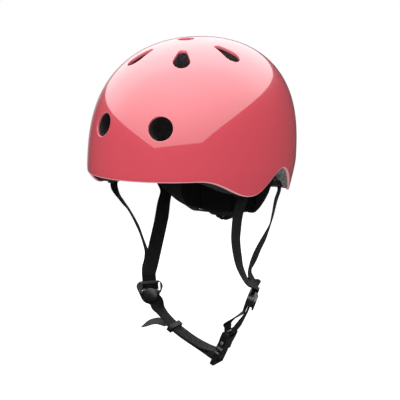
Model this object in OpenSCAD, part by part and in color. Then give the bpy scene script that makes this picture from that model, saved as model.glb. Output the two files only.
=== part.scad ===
// Child's bicycle helmet: hard shell, foam liner, strap harness and dial fit cradle.
// Millimetres. The front of the helmet faces -Y, +X is the wearer's left, +Z is up.
// The origin is the middle of the head cavity, at the shell's widest level.

/* [Shell] */
// Half the length of the shell at its widest level
shell_half_length = 123.5; // [116:0.5:132]
// Half the width of the shell at its widest level
shell_half_width = 101; // [95:0.5:108]
// Height of the crown above the widest level
shell_height = 125; // [118:1:134]
// Wall of the moulded shell
shell_wall = 3; // [2:0.25:3.5]
// How far the crown leans back for each millimetre of height
crown_lean = 0.085; // [0.05:0.005:0.12]
// How much the shell draws in below its widest level
rim_taper = 0.085; // [0.05:0.005:0.1]

/* [Rim] */
// Height of the front rim
front_rim_z = -8; // [-11:0.5:-5]
// Height of the lobe in front of the ear
lobe_z = -27.5; // [-31:0.5:-25]
// Height of the top of the ear notch
notch_z = -4.7; // [-7:0.1:-3]
// Height of the rear rim
rear_rim_z = -36; // [-39:0.5:-34]

/* [Liner] */
// Thickness of the foam liner
liner_wall = 22; // [19:0.5:24]
// Gap between the shell and the liner
liner_gap = 0.3; // [0.2:0.05:0.5]
// How far the liner's edge lies above the shell's edge
liner_recess = 1; // [0.5:0.25:2]

/* [Vents] */
// Radius of the four round vents
round_vent_r = 12; // [9:0.5:13]
// Angle of a round vent from the middle of the front or rear
round_vent_angle = 20.4; // [17:0.1:22]
// Share of the shell's sideways slope that a round vent's bore follows
round_vent_toe = 0.5; // [0.3:0.05:1]
// Height of the round vents
round_vent_z = 44; // [38:1:50]
// Radius of a drop vent at its narrow inner end
drop_narrow_r = 4.5; // [3:0.25:5.5]
// Radius of a drop vent at its wide outer end
drop_wide_r = 8.6; // [7:0.2:10]
// Distance of a drop vent's inner tip from the middle of the ring
drop_start = 36.3; // [33:0.5:39]
// Distance of a drop vent's outer tip from the middle of the ring
drop_end = 63.5; // [60:0.5:66]
// Radius of the round vent at the crown
crown_vent_r = 8.3; // [6:0.1:9]
// How much wider a drop vent is in the liner than in the shell
vent_clear = 0.8; // [0.3:0.1:1.5]

/* [Pads] */
// Thickness of the comfort pads
pad_t = 6; // [4:0.5:7]
// Thickness of a pad at its sewn edge
pad_edge = 2.2; // [1.5:0.1:3]
// Radius of the hook dots behind the pads
dot_r = 6; // [4:0.5:6.5]

/* [Webbing] */
// Width of the webbing
webbing_w = 15; // [13:0.5:15.5]
// Thickness of the webbing
webbing_t = 1.2; // [1:0.1:1.4]

/* [Strap anchors] */
// Distance of the front anchors from the middle plane
front_anchor_x = 79; // [77:0.5:80.5]
// Place of the front anchors along the helmet
front_anchor_y = -31; // [-33:0.5:-29]
// Distance of the rear anchors from the middle plane
rear_anchor_x = 74; // [73:0.5:75.5]
// Place of the rear anchors along the helmet
rear_anchor_y = 51; // [50:0.5:53]
// Length of an anchor plug along the rim
anchor_w = 18.5; // [18.5:0.5:20]
// Height of an anchor plug
anchor_h = 13; // [11:0.5:15]

/* [Dividers] */
// Width of a divider across its eyelets
divider_w = 28; // [27:0.5:30]
// Height of a divider
divider_h = 28; // [27:0.5:30]
// Turning range of a cam lever in degrees
cam_open = 75; // [60:5:80]

/* [Buckle] */
// Width of the buckle
buckle_w = 21.5; // [21.5:0.25:23.5]
// Thickness of the buckle
buckle_t = 8; // [7.5:0.25:9]
// Length of the socket half
socket_len = 24; // [24:0.5:26]

/* [Fit dial] */
// Height of the dial's axis
dial_z = -60; // [-62:0.5:-59]
// Place of the bands' middle surface behind the head
cradle_y = 54; // [53.5:0.25:54.5]
// Radius of the dial knob
knob_r = 15.5; // [14.5:0.25:16.5]
// Height of the knob behind the housing
knob_h = 8.5; // [7.5:0.5:10]
// Gear module of the pinion and the racks
gear_m = 0.8; // [0.8:0.05:0.9]
// Thickness of the bands
band_t = 1.6; // [1.2:0.1:1.8]

/* [Hidden] */
$fn = 64;

shell_pink = [0.85, 0.34, 0.39];
foam_grey = [0.36, 0.34, 0.34];
webbing_black = [0.09, 0.085, 0.09];
plastic_black = [0.07, 0.07, 0.075];
pad_black = [0.11, 0.11, 0.12];
steel_grey = [0.6, 0.6, 0.62];

// Fullness of the dome in side view and the way it rounds over at the crown
side_fullness = 2.65;
crown_fullness = 2.17;
// Keys of the rim in side view: front, lobe, notch and rear
rim_front_y = -92;
rim_lobe_y = [-36, -34];
rim_notch_y = 13;
rim_rear_y = 66;
rim_steps = 8;
// Working clearances
fit_gap = 0.3;
pin_gap = 0.05;
seat_gap = 0.15;
cavity_inset = shell_wall + liner_gap + liner_wall;
pad_inset = cavity_inset + 1.2;
dot_t = 0.5;
dot_inset = cavity_inset + 0.75;

function unit(v) = v / norm(v);

// The dome

// Width of the dome at a height, as a share of its width at the widest level
function level(z, inset, straight) = z >= 0
    ? pow(1 - pow(z / (shell_height - inset), side_fullness), 1 / crown_fullness)
    : (straight ? 1 : 1 - rim_taper * pow(-z / 50, 1.15));

// A point on the dome, or on the same dome drawn in by an inset; phi runs from the front to +X
function dome_at(phi, z, inset = 0, straight = false) = let(r = level(z, inset, straight)) [
    (shell_half_width - inset) * r * sin(phi),
    -(shell_half_length - inset) * r * cos(phi) + crown_lean * z,
    z];

// Outward normal of the dome there
function dome_normal(phi, z, inset) = unit(cross(
    dome_at(phi + 1, z, inset, true) - dome_at(phi - 1, z, inset, true),
    dome_at(phi, z + 1, inset, true) - dome_at(phi, z - 1, inset, true)));

module dome(inset, straight = false) {
    w = shell_half_width - inset;
    h = shell_height - inset;
    low_end = -48;
    multmatrix([
        [1, 0, 0, 0],
        [0, (shell_half_length - inset) / w, crown_lean, 0],
        [0, 0, 1, 0],
        [0, 0, 0, 1]])
    rotate_extrude($fn = 96)
    polygon(concat(
        [[0, low_end]],
        [for (z = [low_end, -36, -24, -12]) [w * level(z, inset, straight), z]],
        [for (t = [0:5:85]) [w * pow(cos(t), 2 / crown_fullness), h * pow(sin(t), 2 / side_fullness)]],
        [[0, h]]));
}

// The rim

function ease(y, a, b) = a[1] + (b[1] - a[1]) * (1 - cos(180 * (y - a[0]) / (b[0] - a[0]))) / 2;
rim_front = [rim_front_y, front_rim_z];
rim_lobe_a = [rim_lobe_y[0], lobe_z];
rim_lobe_b = [rim_lobe_y[1], lobe_z];
rim_notch = [rim_notch_y, notch_z];
rim_rear = [rim_rear_y, rear_rim_z];

// Height of the shell's rim at a place along the helmet
function rim_z(y) = y < rim_front.x ? rim_front.y
    : y < rim_lobe_a.x ? ease(y, rim_front, rim_lobe_a)
    : y < rim_lobe_b.x ? lobe_z
    : y < rim_notch.x ? ease(y, rim_lobe_b, rim_notch)
    : y < rim_rear.x ? ease(y, rim_notch, rim_rear)
    : rear_rim_z;

function rim_run(a, b) = [for (i = [0:rim_steps]) let(y = a.x + (b.x - a.x) * i / rim_steps) [y, rim_z(y)]];

// Everything below the rim
module below_rim(lift = 0) {
    far = 200;
    curve = concat(rim_run(rim_front, rim_lobe_a), rim_run(rim_lobe_b, rim_notch),
        rim_run(rim_notch, rim_rear));
    rotate([90, 0, 90])
    linear_extrude(2 * far, center = true)
    polygon(concat(
        [[-far, -far], [-far, front_rim_z + lift]],
        [for (p = curve) [p.x, p.y + lift]],
        [[far, rear_rim_z + lift], [far, -far]]));
}

// The vents

// Each pair of drop vents: its angle from the front, and the middle that it points to
drop_ring_y = -13.5;
drop_rear_y = 10;
drop_places = [[30, drop_ring_y], [90, drop_ring_y], [150, drop_rear_y]];
crown_vent_y = -12;
vent_cut_h = 120;

// Two circles and their common tangents
module drop_outline(grow) {
    a = drop_narrow_r + grow;
    b = drop_wide_r + grow;
    reach = drop_end - drop_wide_r - drop_start - drop_narrow_r;
    s = asin((b - a) / reach);
    circle(a);
    translate([reach, 0]) circle(b);
    polygon([
        [-a * sin(s), a * cos(s)], [reach - b * sin(s), b * cos(s)],
        [reach - b * sin(s), -b * cos(s)], [-a * sin(s), -a * cos(s)]]);
}

// All the vents that are cut straight down
module drop_vents(grow) {
    for (side = [-1, 1], place = drop_places)
        translate([0, place[1], 30])
        rotate([0, 0, side * place[0] - 90])
        translate([drop_start + drop_narrow_r, 0, 0])
        linear_extrude(vent_cut_h)
        drop_outline(grow);
    translate([0, crown_vent_y, 30]) cylinder(r = crown_vent_r + grow, h = vent_cut_h);
}

// The four round vents: each is bored a little straighter than the shell's own normal
round_vent_phis = [for (side = [-1, 1]) each [side * round_vent_angle, 180 - side * round_vent_angle]];
function vent_way(phi) = let(n = dome_normal(phi, round_vent_z, 0)) unit([n.x * round_vent_toe, n.y, n.z]);
round_vent_reach = 36;
module round_vents(r) {
    for (phi = round_vent_phis)
        let(n = vent_way(phi))
        translate(dome_at(phi, round_vent_z))
        rotate([0, 0, atan2(n.y, n.x)])
        rotate([0, acos(n.z), 0])
        cylinder(r = r, h = 2 * round_vent_reach, center = true);
}

module outer_shell() {
    color(shell_pink)
    difference() {
        dome(0);
        dome(shell_wall);
        below_rim();
        drop_vents(0);
        round_vents(round_vent_r);
    }
}

module eps_liner() {
    color(foam_grey)
    difference() {
        dome(shell_wall + liner_gap);
        dome(cavity_inset, straight = true);
        below_rim(liner_recess);
        drop_vents(vent_clear);
        round_vents(round_vent_r);
        for (side = [-1, 1]) scale([side, 1, 1]) {
            at_front_anchor() anchor_block(seat_gap);
            at_rear_anchor() anchor_block(seat_gap);
            clip_pin(pin_gap + 0.05);
        }
    }
}

// Padding

// A closed cushion over a patch of the cavity: its back follows the cavity, its face is crowned
module dome_pad(phi0, phi1, z0, z1, cells_u, cells_v) {
    function at(u, v, t) =
        let(uu = u * sqrt(1 - 0.22 * v * v), vv = v * sqrt(1 - 0.22 * u * u))
        dome_at((phi0 + phi1) / 2 + (phi1 - phi0) / 2 * uu, (z0 + z1) / 2 + (z1 - z0) / 2 * vv,
            pad_inset + t, true);
    function crown(u, v) = sqrt((1 - pow(abs(u), 4)) * (1 - pow(abs(v), 4)));
    grid_solid(cells_u, cells_v,
        [for (j = [0:cells_v], i = [0:cells_u]) at(2 * i / cells_u - 1, 2 * j / cells_v - 1, 0)],
        [for (j = [0:cells_v], i = [0:cells_u]) let(u = 2 * i / cells_u - 1, v = 2 * j / cells_v - 1)
            at(u, v, pad_edge + (pad_t - pad_edge) * crown(u, v))]);
}

// A solid between two grids of points, back and face
module grid_solid(nu, nv, back, face) {
    w = nu + 1;
    count = w * (nv + 1);
    function quad(a, b, c, d) = [[a, b, c], [a, c, d]];
    inner = [for (j = [0:nv - 1], i = [0:nu - 1]) let(k = j * w + i)
        each concat(quad(k, k + 1, k + w + 1, k + w),
            quad(count + k, count + k + w, count + k + w + 1, count + k + 1))];
    rows = [for (i = [0:nu - 1]) let(k = i, m = nv * w + i)
        each concat(quad(k, count + k, count + k + 1, k + 1),
            quad(m, m + 1, count + m + 1, count + m))];
    ends = [for (j = [0:nv - 1]) let(k = j * w, m = j * w + nu)
        each concat(quad(k, k + w, count + k + w, count + k),
            quad(m, count + m, count + m + w, m + w))];
    polyhedron(concat(back, face), concat(inner, rows, ends));
}

brow_span = [-50, 50, -3, 22];
rear_span = [152, 208, -14, 16];
side_span = [62, 100, 10, 40];

module brow_pad() {
    color(pad_black) dome_pad(brow_span[0], brow_span[1], brow_span[2], brow_span[3], 18, 6);
}

module rear_pad() {
    color(pad_black) dome_pad(rear_span[0], rear_span[1], rear_span[2], rear_span[3], 12, 6);
}

module side_pad_left() {
    color(pad_black) dome_pad(side_span[0], side_span[1], side_span[2], side_span[3], 10, 6);
}

module side_pad_right() {
    color(pad_black) dome_pad(-side_span[1], -side_span[0], side_span[2], side_span[3], 10, 6);
}

// Oval cushion under the crown, behind the crown vent
crown_pad_half_w = 26;
crown_pad_half_l = 21;
crown_pad_back = 12;
module crown_pad() {
    spokes = 24;
    rings = 5;
    function roof(x, y, inset) = let(
        h = shell_height - inset,
        q = sqrt(pow(x / (shell_half_width - inset), 2) + pow(y / (shell_half_length - inset), 2)))
        h * pow(1 - pow(q, crown_fullness), 1 / side_fullness);
    function at(q, a, t) = let(x = crown_pad_half_w * q * cos(a),
        y = crown_pad_back + crown_pad_half_l * q * sin(a),
        z = roof(x, y, pad_inset + t)) [x, y + crown_lean * z, z];
    function t_at(q) = pad_edge + (pad_t - pad_edge) * sqrt(1 - pow(q, 4));
    back = concat([at(0, 0, 0)],
        [for (j = [1:rings], i = [0:spokes - 1]) at(j / rings, 360 * i / spokes, 0)]);
    face = concat([at(0, 0, t_at(0))],
        [for (j = [1:rings], i = [0:spokes - 1]) at(j / rings, 360 * i / spokes, t_at(j / rings))]);
    count = len(back);
    function k(j, i) = 1 + (j - 1) * spokes + i % spokes;
    color(pad_black)
    polyhedron(concat(back, face), concat(
        [for (i = [0:spokes - 1]) [0, k(1, i + 1), k(1, i)]],
        [for (i = [0:spokes - 1]) [count, count + k(1, i), count + k(1, i + 1)]],
        [for (j = [1:rings - 1], i = [0:spokes - 1]) each [
            [k(j, i), k(j, i + 1), k(j + 1, i + 1)], [k(j, i), k(j + 1, i + 1), k(j + 1, i)],
            [count + k(j, i), count + k(j + 1, i + 1), count + k(j, i + 1)],
            [count + k(j, i), count + k(j + 1, i), count + k(j + 1, i + 1)]]],
        [for (i = [0:spokes - 1]) each [
            [k(rings, i), k(rings, i + 1), count + k(rings, i + 1)],
            [k(rings, i), count + k(rings, i + 1), count + k(rings, i)]]]));
}

// Hook dots between the liner and the pads
dot_places = [[-32, 10], [0, 10], [32, 10], [168, 2], [192, 2], [81, 25], [-81, 25]];
module pad_dots() {
    color(plastic_black) {
        for (p = dot_places)
            let(n = dome_normal(p[0], p[1], dot_inset))
            translate(dome_at(p[0], p[1], dot_inset, true))
            rotate([0, 0, atan2(n.y, n.x)])
            rotate([0, acos(n.z), 0])
            cylinder(r = dot_r, h = dot_t, center = true);
        translate([0, crown_lean * shell_height, shell_height - dot_inset])
            cylinder(r = dot_r, h = dot_t, center = true);
    }
}

// Strap anchors

// An anchor's frame: X along the rim, Y towards the head, Z up the strap
front_anchor_turn = 80;
rear_anchor_turn = 108;
rear_anchor_lean = 15;
module at_front_anchor() {
    translate([front_anchor_x, front_anchor_y, rim_z(front_anchor_y) + liner_recess])
    rotate([0, 0, front_anchor_turn]) children();
}
module at_rear_anchor() {
    translate([rear_anchor_x, rear_anchor_y, rim_z(rear_anchor_y) + liner_recess])
    rotate([0, 0, rear_anchor_turn]) rotate([0, rear_anchor_lean, 0]) children();
}

anchor_t = 6.4;
anchor_lip = 1.4;
anchor_slot_w = webbing_w + 1;
anchor_slot_t = webbing_t + 1.6;
anchor_slot_h = 8;
anchor_foot_h = 0.8;

// The plug's block; grown, it is the pocket in the liner, open at the rim
anchor_pocket_deep = 12;
module anchor_block(grow) {
    low = grow > 0 ? -anchor_pocket_deep : -anchor_lip;
    high = anchor_h - anchor_lip + grow;
    translate([-anchor_w / 2 - grow, -anchor_t / 2 - grow, low])
        cube([anchor_w + 2 * grow, anchor_t + 2 * grow, high - low]);
}

module anchor() {
    color(plastic_black)
    difference() {
        union() {
            anchor_block(0);
            for (side = [-1, 1])
                translate([side * (anchor_w / 2 - 2), 0, -anchor_lip - anchor_foot_h])
                cylinder(r = 1.6, h = anchor_foot_h);
        }
        translate([-anchor_slot_w / 2, -anchor_slot_t / 2, -anchor_lip - 1])
            cube([anchor_slot_w, anchor_slot_t, anchor_slot_h + anchor_lip + 1]);
    }
}

module strap_anchor_front_left() {
    at_front_anchor() anchor();
}
module strap_anchor_front_right() {
    mirror([1, 0, 0]) at_front_anchor() anchor();
}
module strap_anchor_rear_left() {
    at_rear_anchor() anchor();
}
module strap_anchor_rear_right() {
    mirror([1, 0, 0]) at_rear_anchor() anchor();
}

// Webbing

// A key is [x, y, z, turn, lift]: turn and lift give the way the webbing's width points
function blend_key(a, b, c, d, t) = 0.5 * (2 * b + (c - a) * t
    + (2 * a - 5 * b + 4 * c - d) * t * t
    + (3 * b - a - 3 * c + d) * t * t * t);
function smooth(p, n) = let(m = len(p)) [for (i = [0:m - 2]) for (j = [0:i == m - 2 ? n : n - 1])
    blend_key(p[max(i - 1, 0)], p[i], p[i + 1], p[min(i + 2, m - 1)], j / n)];
function spot(k) = [k[0], k[1], k[2]];
function width_way(k) = [sin(k[3]) * cos(k[4]), cos(k[3]) * cos(k[4]), sin(k[4])];
function square_to(v, t) = unit(v - t * (v * t));

module webbing(keys, steps) {
    k = smooth(keys, steps);
    m = len(k);
    tangent = [for (i = [0:m - 1]) unit(spot(k[min(i + 1, m - 1)]) - spot(k[max(i - 1, 0)]))];
    wide = [for (i = [0:m - 1]) square_to(width_way(k[i]), tangent[i]) * webbing_w / 2];
    deep = [for (i = [0:m - 1]) unit(cross(tangent[i], wide[i])) * webbing_t / 2];
    color(webbing_black)
    polyhedron(
        [for (i = [0:m - 1]) each [spot(k[i]) - wide[i] - deep[i], spot(k[i]) + wide[i] - deep[i],
            spot(k[i]) + wide[i] + deep[i], spot(k[i]) - wide[i] + deep[i]]],
        concat([[0, 2, 1], [0, 3, 2]],
            [for (i = [0:m - 2], j = [0:3]) let(a = 4 * i + j, b = 4 * i + (j + 1) % 4)
                each [[a, b, b + 4], [a, b + 4, a + 4]]],
            [[4 * m - 4, 4 * m - 3, 4 * m - 2], [4 * m - 4, 4 * m - 2, 4 * m - 1]]));
}

// A frame that hangs in space: X along the width, Y through the thickness, Z up the strap
function hang_x(f) = [sin(f[1]), cos(f[1]), 0];
function hang_y(f) = [-cos(f[1]) * cos(f[2]), sin(f[1]) * cos(f[2]), sin(f[2])];
function hang_z(f) = [cos(f[1]) * sin(f[2]), -sin(f[1]) * sin(f[2]), cos(f[2])];
function hang_up(f) = hang_z(f) * cos(f[3]) - hang_x(f) * sin(f[3]);
function hang_wide(f) = hang_x(f) * cos(f[3]) + hang_z(f) * sin(f[3]);
function hang(f, y, z, x = 0) = let(
    p = f[0] + hang_wide(f) * x + hang_y(f) * y + hang_up(f) * z,
    w = hang_wide(f))
    [p.x, p.y, p.z, atan2(w.x, w.y), asin(w.z)];
module hang_at(f) {
    translate(f[0]) rotate([0, 0, 90 - f[1]]) rotate([f[2], 0, 0]) rotate([0, -f[3], 0]) children();
}

// Place, turn, tilt and lean of the hanging hardware: a divider's middle, and the buckle's mouth
divider_left = [[66, 8, -144.5], -24, 20, 18];
divider_right = [[-61, 6, -151.6], 50, -8, 2];
buckle = [[28.4, 12, -203.2], -5, 25.5, 0];

// Layers of webbing in a divider's channel
layer_front = 0.1;
layer_rear = 1.7;
layer_chin = 0.8;
layer_gap = 0.25;
divider_half = divider_h / 2;

// The start of a strap in its anchor
front_seat = [front_anchor_x, front_anchor_y, rim_z(front_anchor_y) + liner_recess];
rear_seat = [rear_anchor_x, rear_anchor_y, rim_z(rear_anchor_y) + liner_recess];
rear_seat_way = [
    cos(rear_anchor_turn) * sin(rear_anchor_lean),
    sin(rear_anchor_turn) * sin(rear_anchor_lean),
    cos(rear_anchor_lean)];
function seat_key(p, way, up, side, turn) = let(q = p + way * up) [side * q.x, q.y, q.z, side * turn, 0];

// A strap's keys: its anchor, the bows between, and the divider
function strap_keys(seat, way, side, turn, bows, divider, layer, fan) = let(
    a = seat_key(seat, way, -6.5, side, turn),
    b = hang(divider, layer, divider_half + 1))
    concat(
        [seat_key(seat, way, 6.5, side, turn), seat_key(seat, way, 1, side, turn), a],
        [for (w = bows) [a.x + (b.x - a.x) * w[0] + w[1], a.y + (b.y - a.y) * w[0] + w[2],
            a.z + (b.z - a.z) * w[0], w[3], w[4]]],
        [hang(divider, fan.y, divider_half + 6, fan.x), b, hang(divider, layer, divider_half - 2),
            hang(divider, layer, layer_gap)]);

// The bows of the straps between anchor and divider: [share, out, back, turn, lift]
front_left_bows = [[0.14, -0.9, -9.8, 8, -9], [0.29, 0, -18.6, 7, -3], [0.42, 0.6, -23.7, 3, 12],
    [0.61, 0.8, -24.4, -3, 25], [0.76, 1.6, -21.6, -11, 32]];
rear_left_bows = [[0.1, 0.2, -1.8, -22, -22], [0.23, 0.7, -1.4, -26, -22], [0.36, 1.1, -2.3, -32, -28],
    [0.46, 1.4, -6.8, -29, -42], [0.55, 1.5, -13, -23, -42], [0.64, 1.3, -16.9, -14, -33],
    [0.74, -0.4, -16.6, -15, -16], [0.84, -2.4, -12, -20, 8]];
front_right_bows = [[0.13, -1, 3.6, -44, 25], [0.21, -1.8, 8.7, -53, 26], [0.31, -2.9, 13.7, -49, 25],
    [0.43, -4.1, 17.8, -43, 24], [0.51, -5, 20.1, -38, 19], [0.63, -5.8, 20.5, -35, 13],
    [0.75, -6.2, 19.6, -24, 3], [0.86, -4.4, 13.5, 4, -10]];
rear_right_bows = [[0.12, 3, 7, 22, 0], [0.26, 1, 9, 31, 0], [0.42, 3, 5, 45, 0], [0.66, 3.2, 0, 52, 0],
    [0.84, 1.6, -1, 52, 0]];

strap_steps = 3;
module strap_front_left() {
    keys = strap_keys(front_seat, [0, 0, 1], 1, 10, front_left_bows, divider_left, layer_front,
        [-1.6, -1.6]);
    webbing(keys, strap_steps);
}
module strap_rear_left() {
    keys = strap_keys(rear_seat, rear_seat_way, 1, -18, rear_left_bows, divider_left, layer_rear,
        [-0.6, 3.4]);
    webbing(keys, strap_steps);
}
module strap_front_right() {
    keys = strap_keys(front_seat, [0, 0, 1], -1, 10, front_right_bows, divider_right, layer_rear,
        [0, 2.8]);
    webbing(keys, strap_steps);
}
module strap_rear_right() {
    keys = strap_keys(rear_seat, rear_seat_way, -1, -18, rear_right_bows, divider_right, layer_front,
        [0, -0.8]);
    webbing(keys, strap_steps);
}

// Loop from the left divider, through the socket's bar and back
bar_up = socket_len - 1.6;
buckle_strap_keys = [
    hang(divider_left, layer_front, -layer_gap),
    hang(divider_left, layer_front, 2 - divider_half),
    hang(divider_left, layer_front + 0.3, -divider_half - 3),
    hang(buckle, -4.2, bar_up + 8),
    hang(buckle, -3.2, bar_up + 2),
    hang(buckle, -2.4, bar_up - 2.4),
    hang(buckle, 0, bar_up - 3.3),
    hang(buckle, 2.4, bar_up - 2.4),
    hang(buckle, 4.8, bar_up + 2),
    hang(buckle, 6.3, bar_up + 7),
    hang(divider_left, layer_rear + 2.4, -divider_half - 5),
    hang(divider_left, layer_rear + 0.1, -divider_half - 0.5),
    hang(divider_left, layer_rear, 4 - divider_half),
    hang(divider_left, layer_rear, -layer_gap)];
module buckle_strap() {
    webbing(buckle_strap_keys, 4);
}

// Long strap under the chin: out of the right divider, round the plug's bar and back to its tail
chin_run = [
    hang(divider_right, 0.5, -7.4, 2.4),
    concat(spot(hang(divider_right, 0.2, -11.2, 6.2)), [50, 33]),
    [-53.4, 9.4, -166.8, 36, 22],
    [-50.4, 9.8, -171.4, 12, 8],
    [-42.6, 9.8, -178.4, 4, 2],
    [-31, 9.6, -186.7, 3, 5],
    [-20.1, 10, -193, 0, 7],
    [-7.3, 11, -199.5, -1, 7],
    [6.3, 11.6, -204.2, 1, 6]];
layer_pitch = webbing_t + 0.6;
function run_normal(i) = let(
    t = unit(spot(chin_run[i + 1]) - spot(chin_run[i - 1])),
    w = square_to(width_way(chin_run[i]), t))
    unit(cross(t, w));
function back_layer(i) = let(p = spot(chin_run[i]) - run_normal(i) * layer_pitch)
    [p.x, p.y, p.z, chin_run[i][3], chin_run[i][4]];
tail_run = [
    [-41.5, 11.6, -186.6, 4, 4],
    [-49.4, 11.9, -185.4, 8, 7],
    [-58.4, 12.5, -185.9, 0, 17],
    [-67.1, 12.6, -188.9, -8, 19],
    [-73.5, 12.4, -191.6, -7, 12]];
keeper_key = 5;
chin_strap_keys = concat(
    [for (z = [-1, -2.3, -3.6]) hang(divider_right, layer_chin, z)],
    chin_run,
    [for (k = [[5.5, -6.2], [0, -6.8], [-2.5, -8.2], [-3, -10.2], [-2.5, -12.2], [0, -13.7], [5.5, -14]])
        hang(buckle, k.x, k.y)],
    [[5.5, 12.2, -207.6, 1, 6]],
    [for (i = [keeper_key + 2:-1:keeper_key]) back_layer(i)],
    [let(
        k = back_layer(keeper_key),
        d = spot(chin_run[keeper_key - 1]) - spot(chin_run[keeper_key]),
        p = spot(k) + 0.35 * d)
        [p.x, p.y, p.z, k[3], k[4]]],
    tail_run);
module chin_strap() {
    webbing(chin_strap_keys, 4);
}

// Rubber keeper round both layers
keeper_len = 5.5;
keeper_wall = 1.6;
module strap_keeper() {
    t = unit(spot(chin_run[keeper_key + 1]) - spot(chin_run[keeper_key - 1]));
    w = square_to(width_way(chin_run[keeper_key]), t);
    n = cross(t, w);
    c = spot(chin_run[keeper_key]) - n * layer_pitch / 2;
    inner = [webbing_w + 1.4, webbing_t + layer_pitch + 1.4];
    color(plastic_black)
    multmatrix([
        [w.x, n.x, -t.x, c.x],
        [w.y, n.y, -t.y, c.y],
        [w.z, n.z, -t.z, c.z],
        [0, 0, 0, 1]])
    difference() {
        round_bar(inner.x + 2 * keeper_wall, inner.y + 2 * keeper_wall, keeper_len, 1.8);
        cube([inner.x, inner.y, keeper_len + 2], center = true);
    }
}

// A bar along Z with rounded corners
module round_bar(w, t, h, r) {
    linear_extrude(h, center = true) round_rect(w, t, r);
}
module round_rect(w, t, r) {
    square([w - 2 * r, t], center = true);
    square([w, t - 2 * r], center = true);
    for (x = [-1, 1], y = [-1, 1]) translate([x * (w / 2 - r), y * (t / 2 - r)]) circle(r);
}

// Strap dividers

eyelet_r = 1.25;
eyelet_wall = 2.2;
divider_foot_r = 10;
channel_w = webbing_w + 1.6;
channel_y = [layer_front - 0.9, layer_rear + 0.9];
divider_front_y = -4;
divider_back_y = channel_y[1] + 1.6;
// Below this height only the back plate is left, so that the strap can leave at an angle
divider_foot_z = -1.6;
cam_pin_y = -3.4;
cam_pin_z = 1.5;
cam_pin_r = 1;
cam_barrel_r = 2.3;
cam_w = channel_w - 0.6;

// Points along an arc
function arc(c, r, from, to, steps) = [for (i = [0:steps]) let(a = from + (to - from) * i / steps)
    [c.x + r * cos(a), c.y + r * sin(a)]];

// Outline of a divider seen from its front: wide shoulders and a narrower round foot
eyelet_x = divider_w / 2 - eyelet_r - eyelet_wall;
eyelet_z = [1.5, 8.5];
module divider_outline() {
    shoulder_r = 6;
    right = concat(arc([divider_w / 2 - shoulder_r, divider_half - shoulder_r - 2.5], shoulder_r, 70, -16, 7),
        arc([0, divider_foot_r - divider_half], divider_foot_r, -16, -90, 9));
    polygon(concat(right, [for (i = [len(right) - 2:-1:0]) [-right[i].x, right[i].y]]));
}

// An upright slot for the strap's edge, at the outer side of the channel
module eyelet(side, from, to) {
    for (z = eyelet_z) translate([side * eyelet_x, from, z]) rotate([-90, 0, 0])
        cylinder(r = eyelet_r, h = to - from);
    translate([side * eyelet_x - eyelet_r, from, eyelet_z[0]])
        cube([2 * eyelet_r, to - from, eyelet_z[1] - eyelet_z[0]]);
}

module divider_body(f) {
    color(plastic_black)
    hang_at(f)
    difference() {
        translate([0, divider_back_y, 0]) rotate([90, 0, 0])
            linear_extrude(divider_back_y - divider_front_y) divider_outline();
        translate([-channel_w / 2, divider_front_y - 1, -divider_h])
            cube([channel_w, channel_y[1] - divider_front_y + 1, 2 * divider_h]);
        translate([-divider_w, divider_front_y - 1, -divider_h])
            cube([2 * divider_w, channel_y[1] - divider_front_y + 1, divider_h + divider_foot_z]);
        eyelet(1, divider_front_y - 1, divider_back_y + 1);
        eyelet(-1, divider_front_y - 1, divider_front_y + 2);
        translate([0, cam_pin_y, cam_pin_z]) rotate([0, 90, 0])
            cylinder(r = cam_pin_r + 0.02, h = cam_w + 2.4, center = true);
    }
    color(plastic_black)
    hang_at(f)
    translate([-channel_w / 2 - 0.5, divider_front_y + 0.6, divider_half - 5.2])
        cube([channel_w + 1, 2, 2.6]);
}
module divider_body_left() {
    divider_body(divider_left);
}
module divider_body_right() {
    divider_body(divider_right);
}

// Cam lever: a barrel on the pin, and a round thumb plate
cam_plate_r = 7.2;
cam_plate_t = 1.8;
module divider_cam(f) {
    color(plastic_black)
    hang_at(f)
    translate([0, cam_pin_y, cam_pin_z])
    difference() {
        union() {
            rotate([0, 90, 0]) cylinder(r = cam_barrel_r, h = cam_w, center = true);
            translate([0, -cam_barrel_r + cam_plate_t, -cam_plate_r + 2.4]) rotate([90, 0, 0])
                cylinder(r = cam_plate_r, h = cam_plate_t);
            translate([-cam_w / 2, -cam_barrel_r, -3.2]) cube([cam_w, cam_plate_t, 3.2]);
        }
        rotate([0, 90, 0]) cylinder(r = cam_pin_r + pin_gap, h = cam_w + 1, center = true);
    }
}
module divider_cam_left() {
    divider_cam(divider_left);
}
module divider_cam_right() {
    divider_cam(divider_right);
}

module divider_pin(f) {
    color(steel_grey)
    hang_at(f) translate([0, cam_pin_y, cam_pin_z]) rotate([0, 90, 0])
        cylinder(r = cam_pin_r, h = cam_w + 2, center = true);
}
module divider_pin_left() {
    divider_pin(divider_left);
}
module divider_pin_right() {
    divider_pin(divider_right);
}

// Side-release buckle

socket_x = 8.5;
socket_y = 2.5;
socket_deep = 12.5;
window = [4, 11.5];
mouth_z = -1;
male_top = -1.3;
male_end = -19.4;
male_t = 4.8;
buckle_slot = 3.7;
slot_half = webbing_w / 2 + 0.5;
prong_root = [5.6, -1];
prong_t = 3.6;

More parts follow.
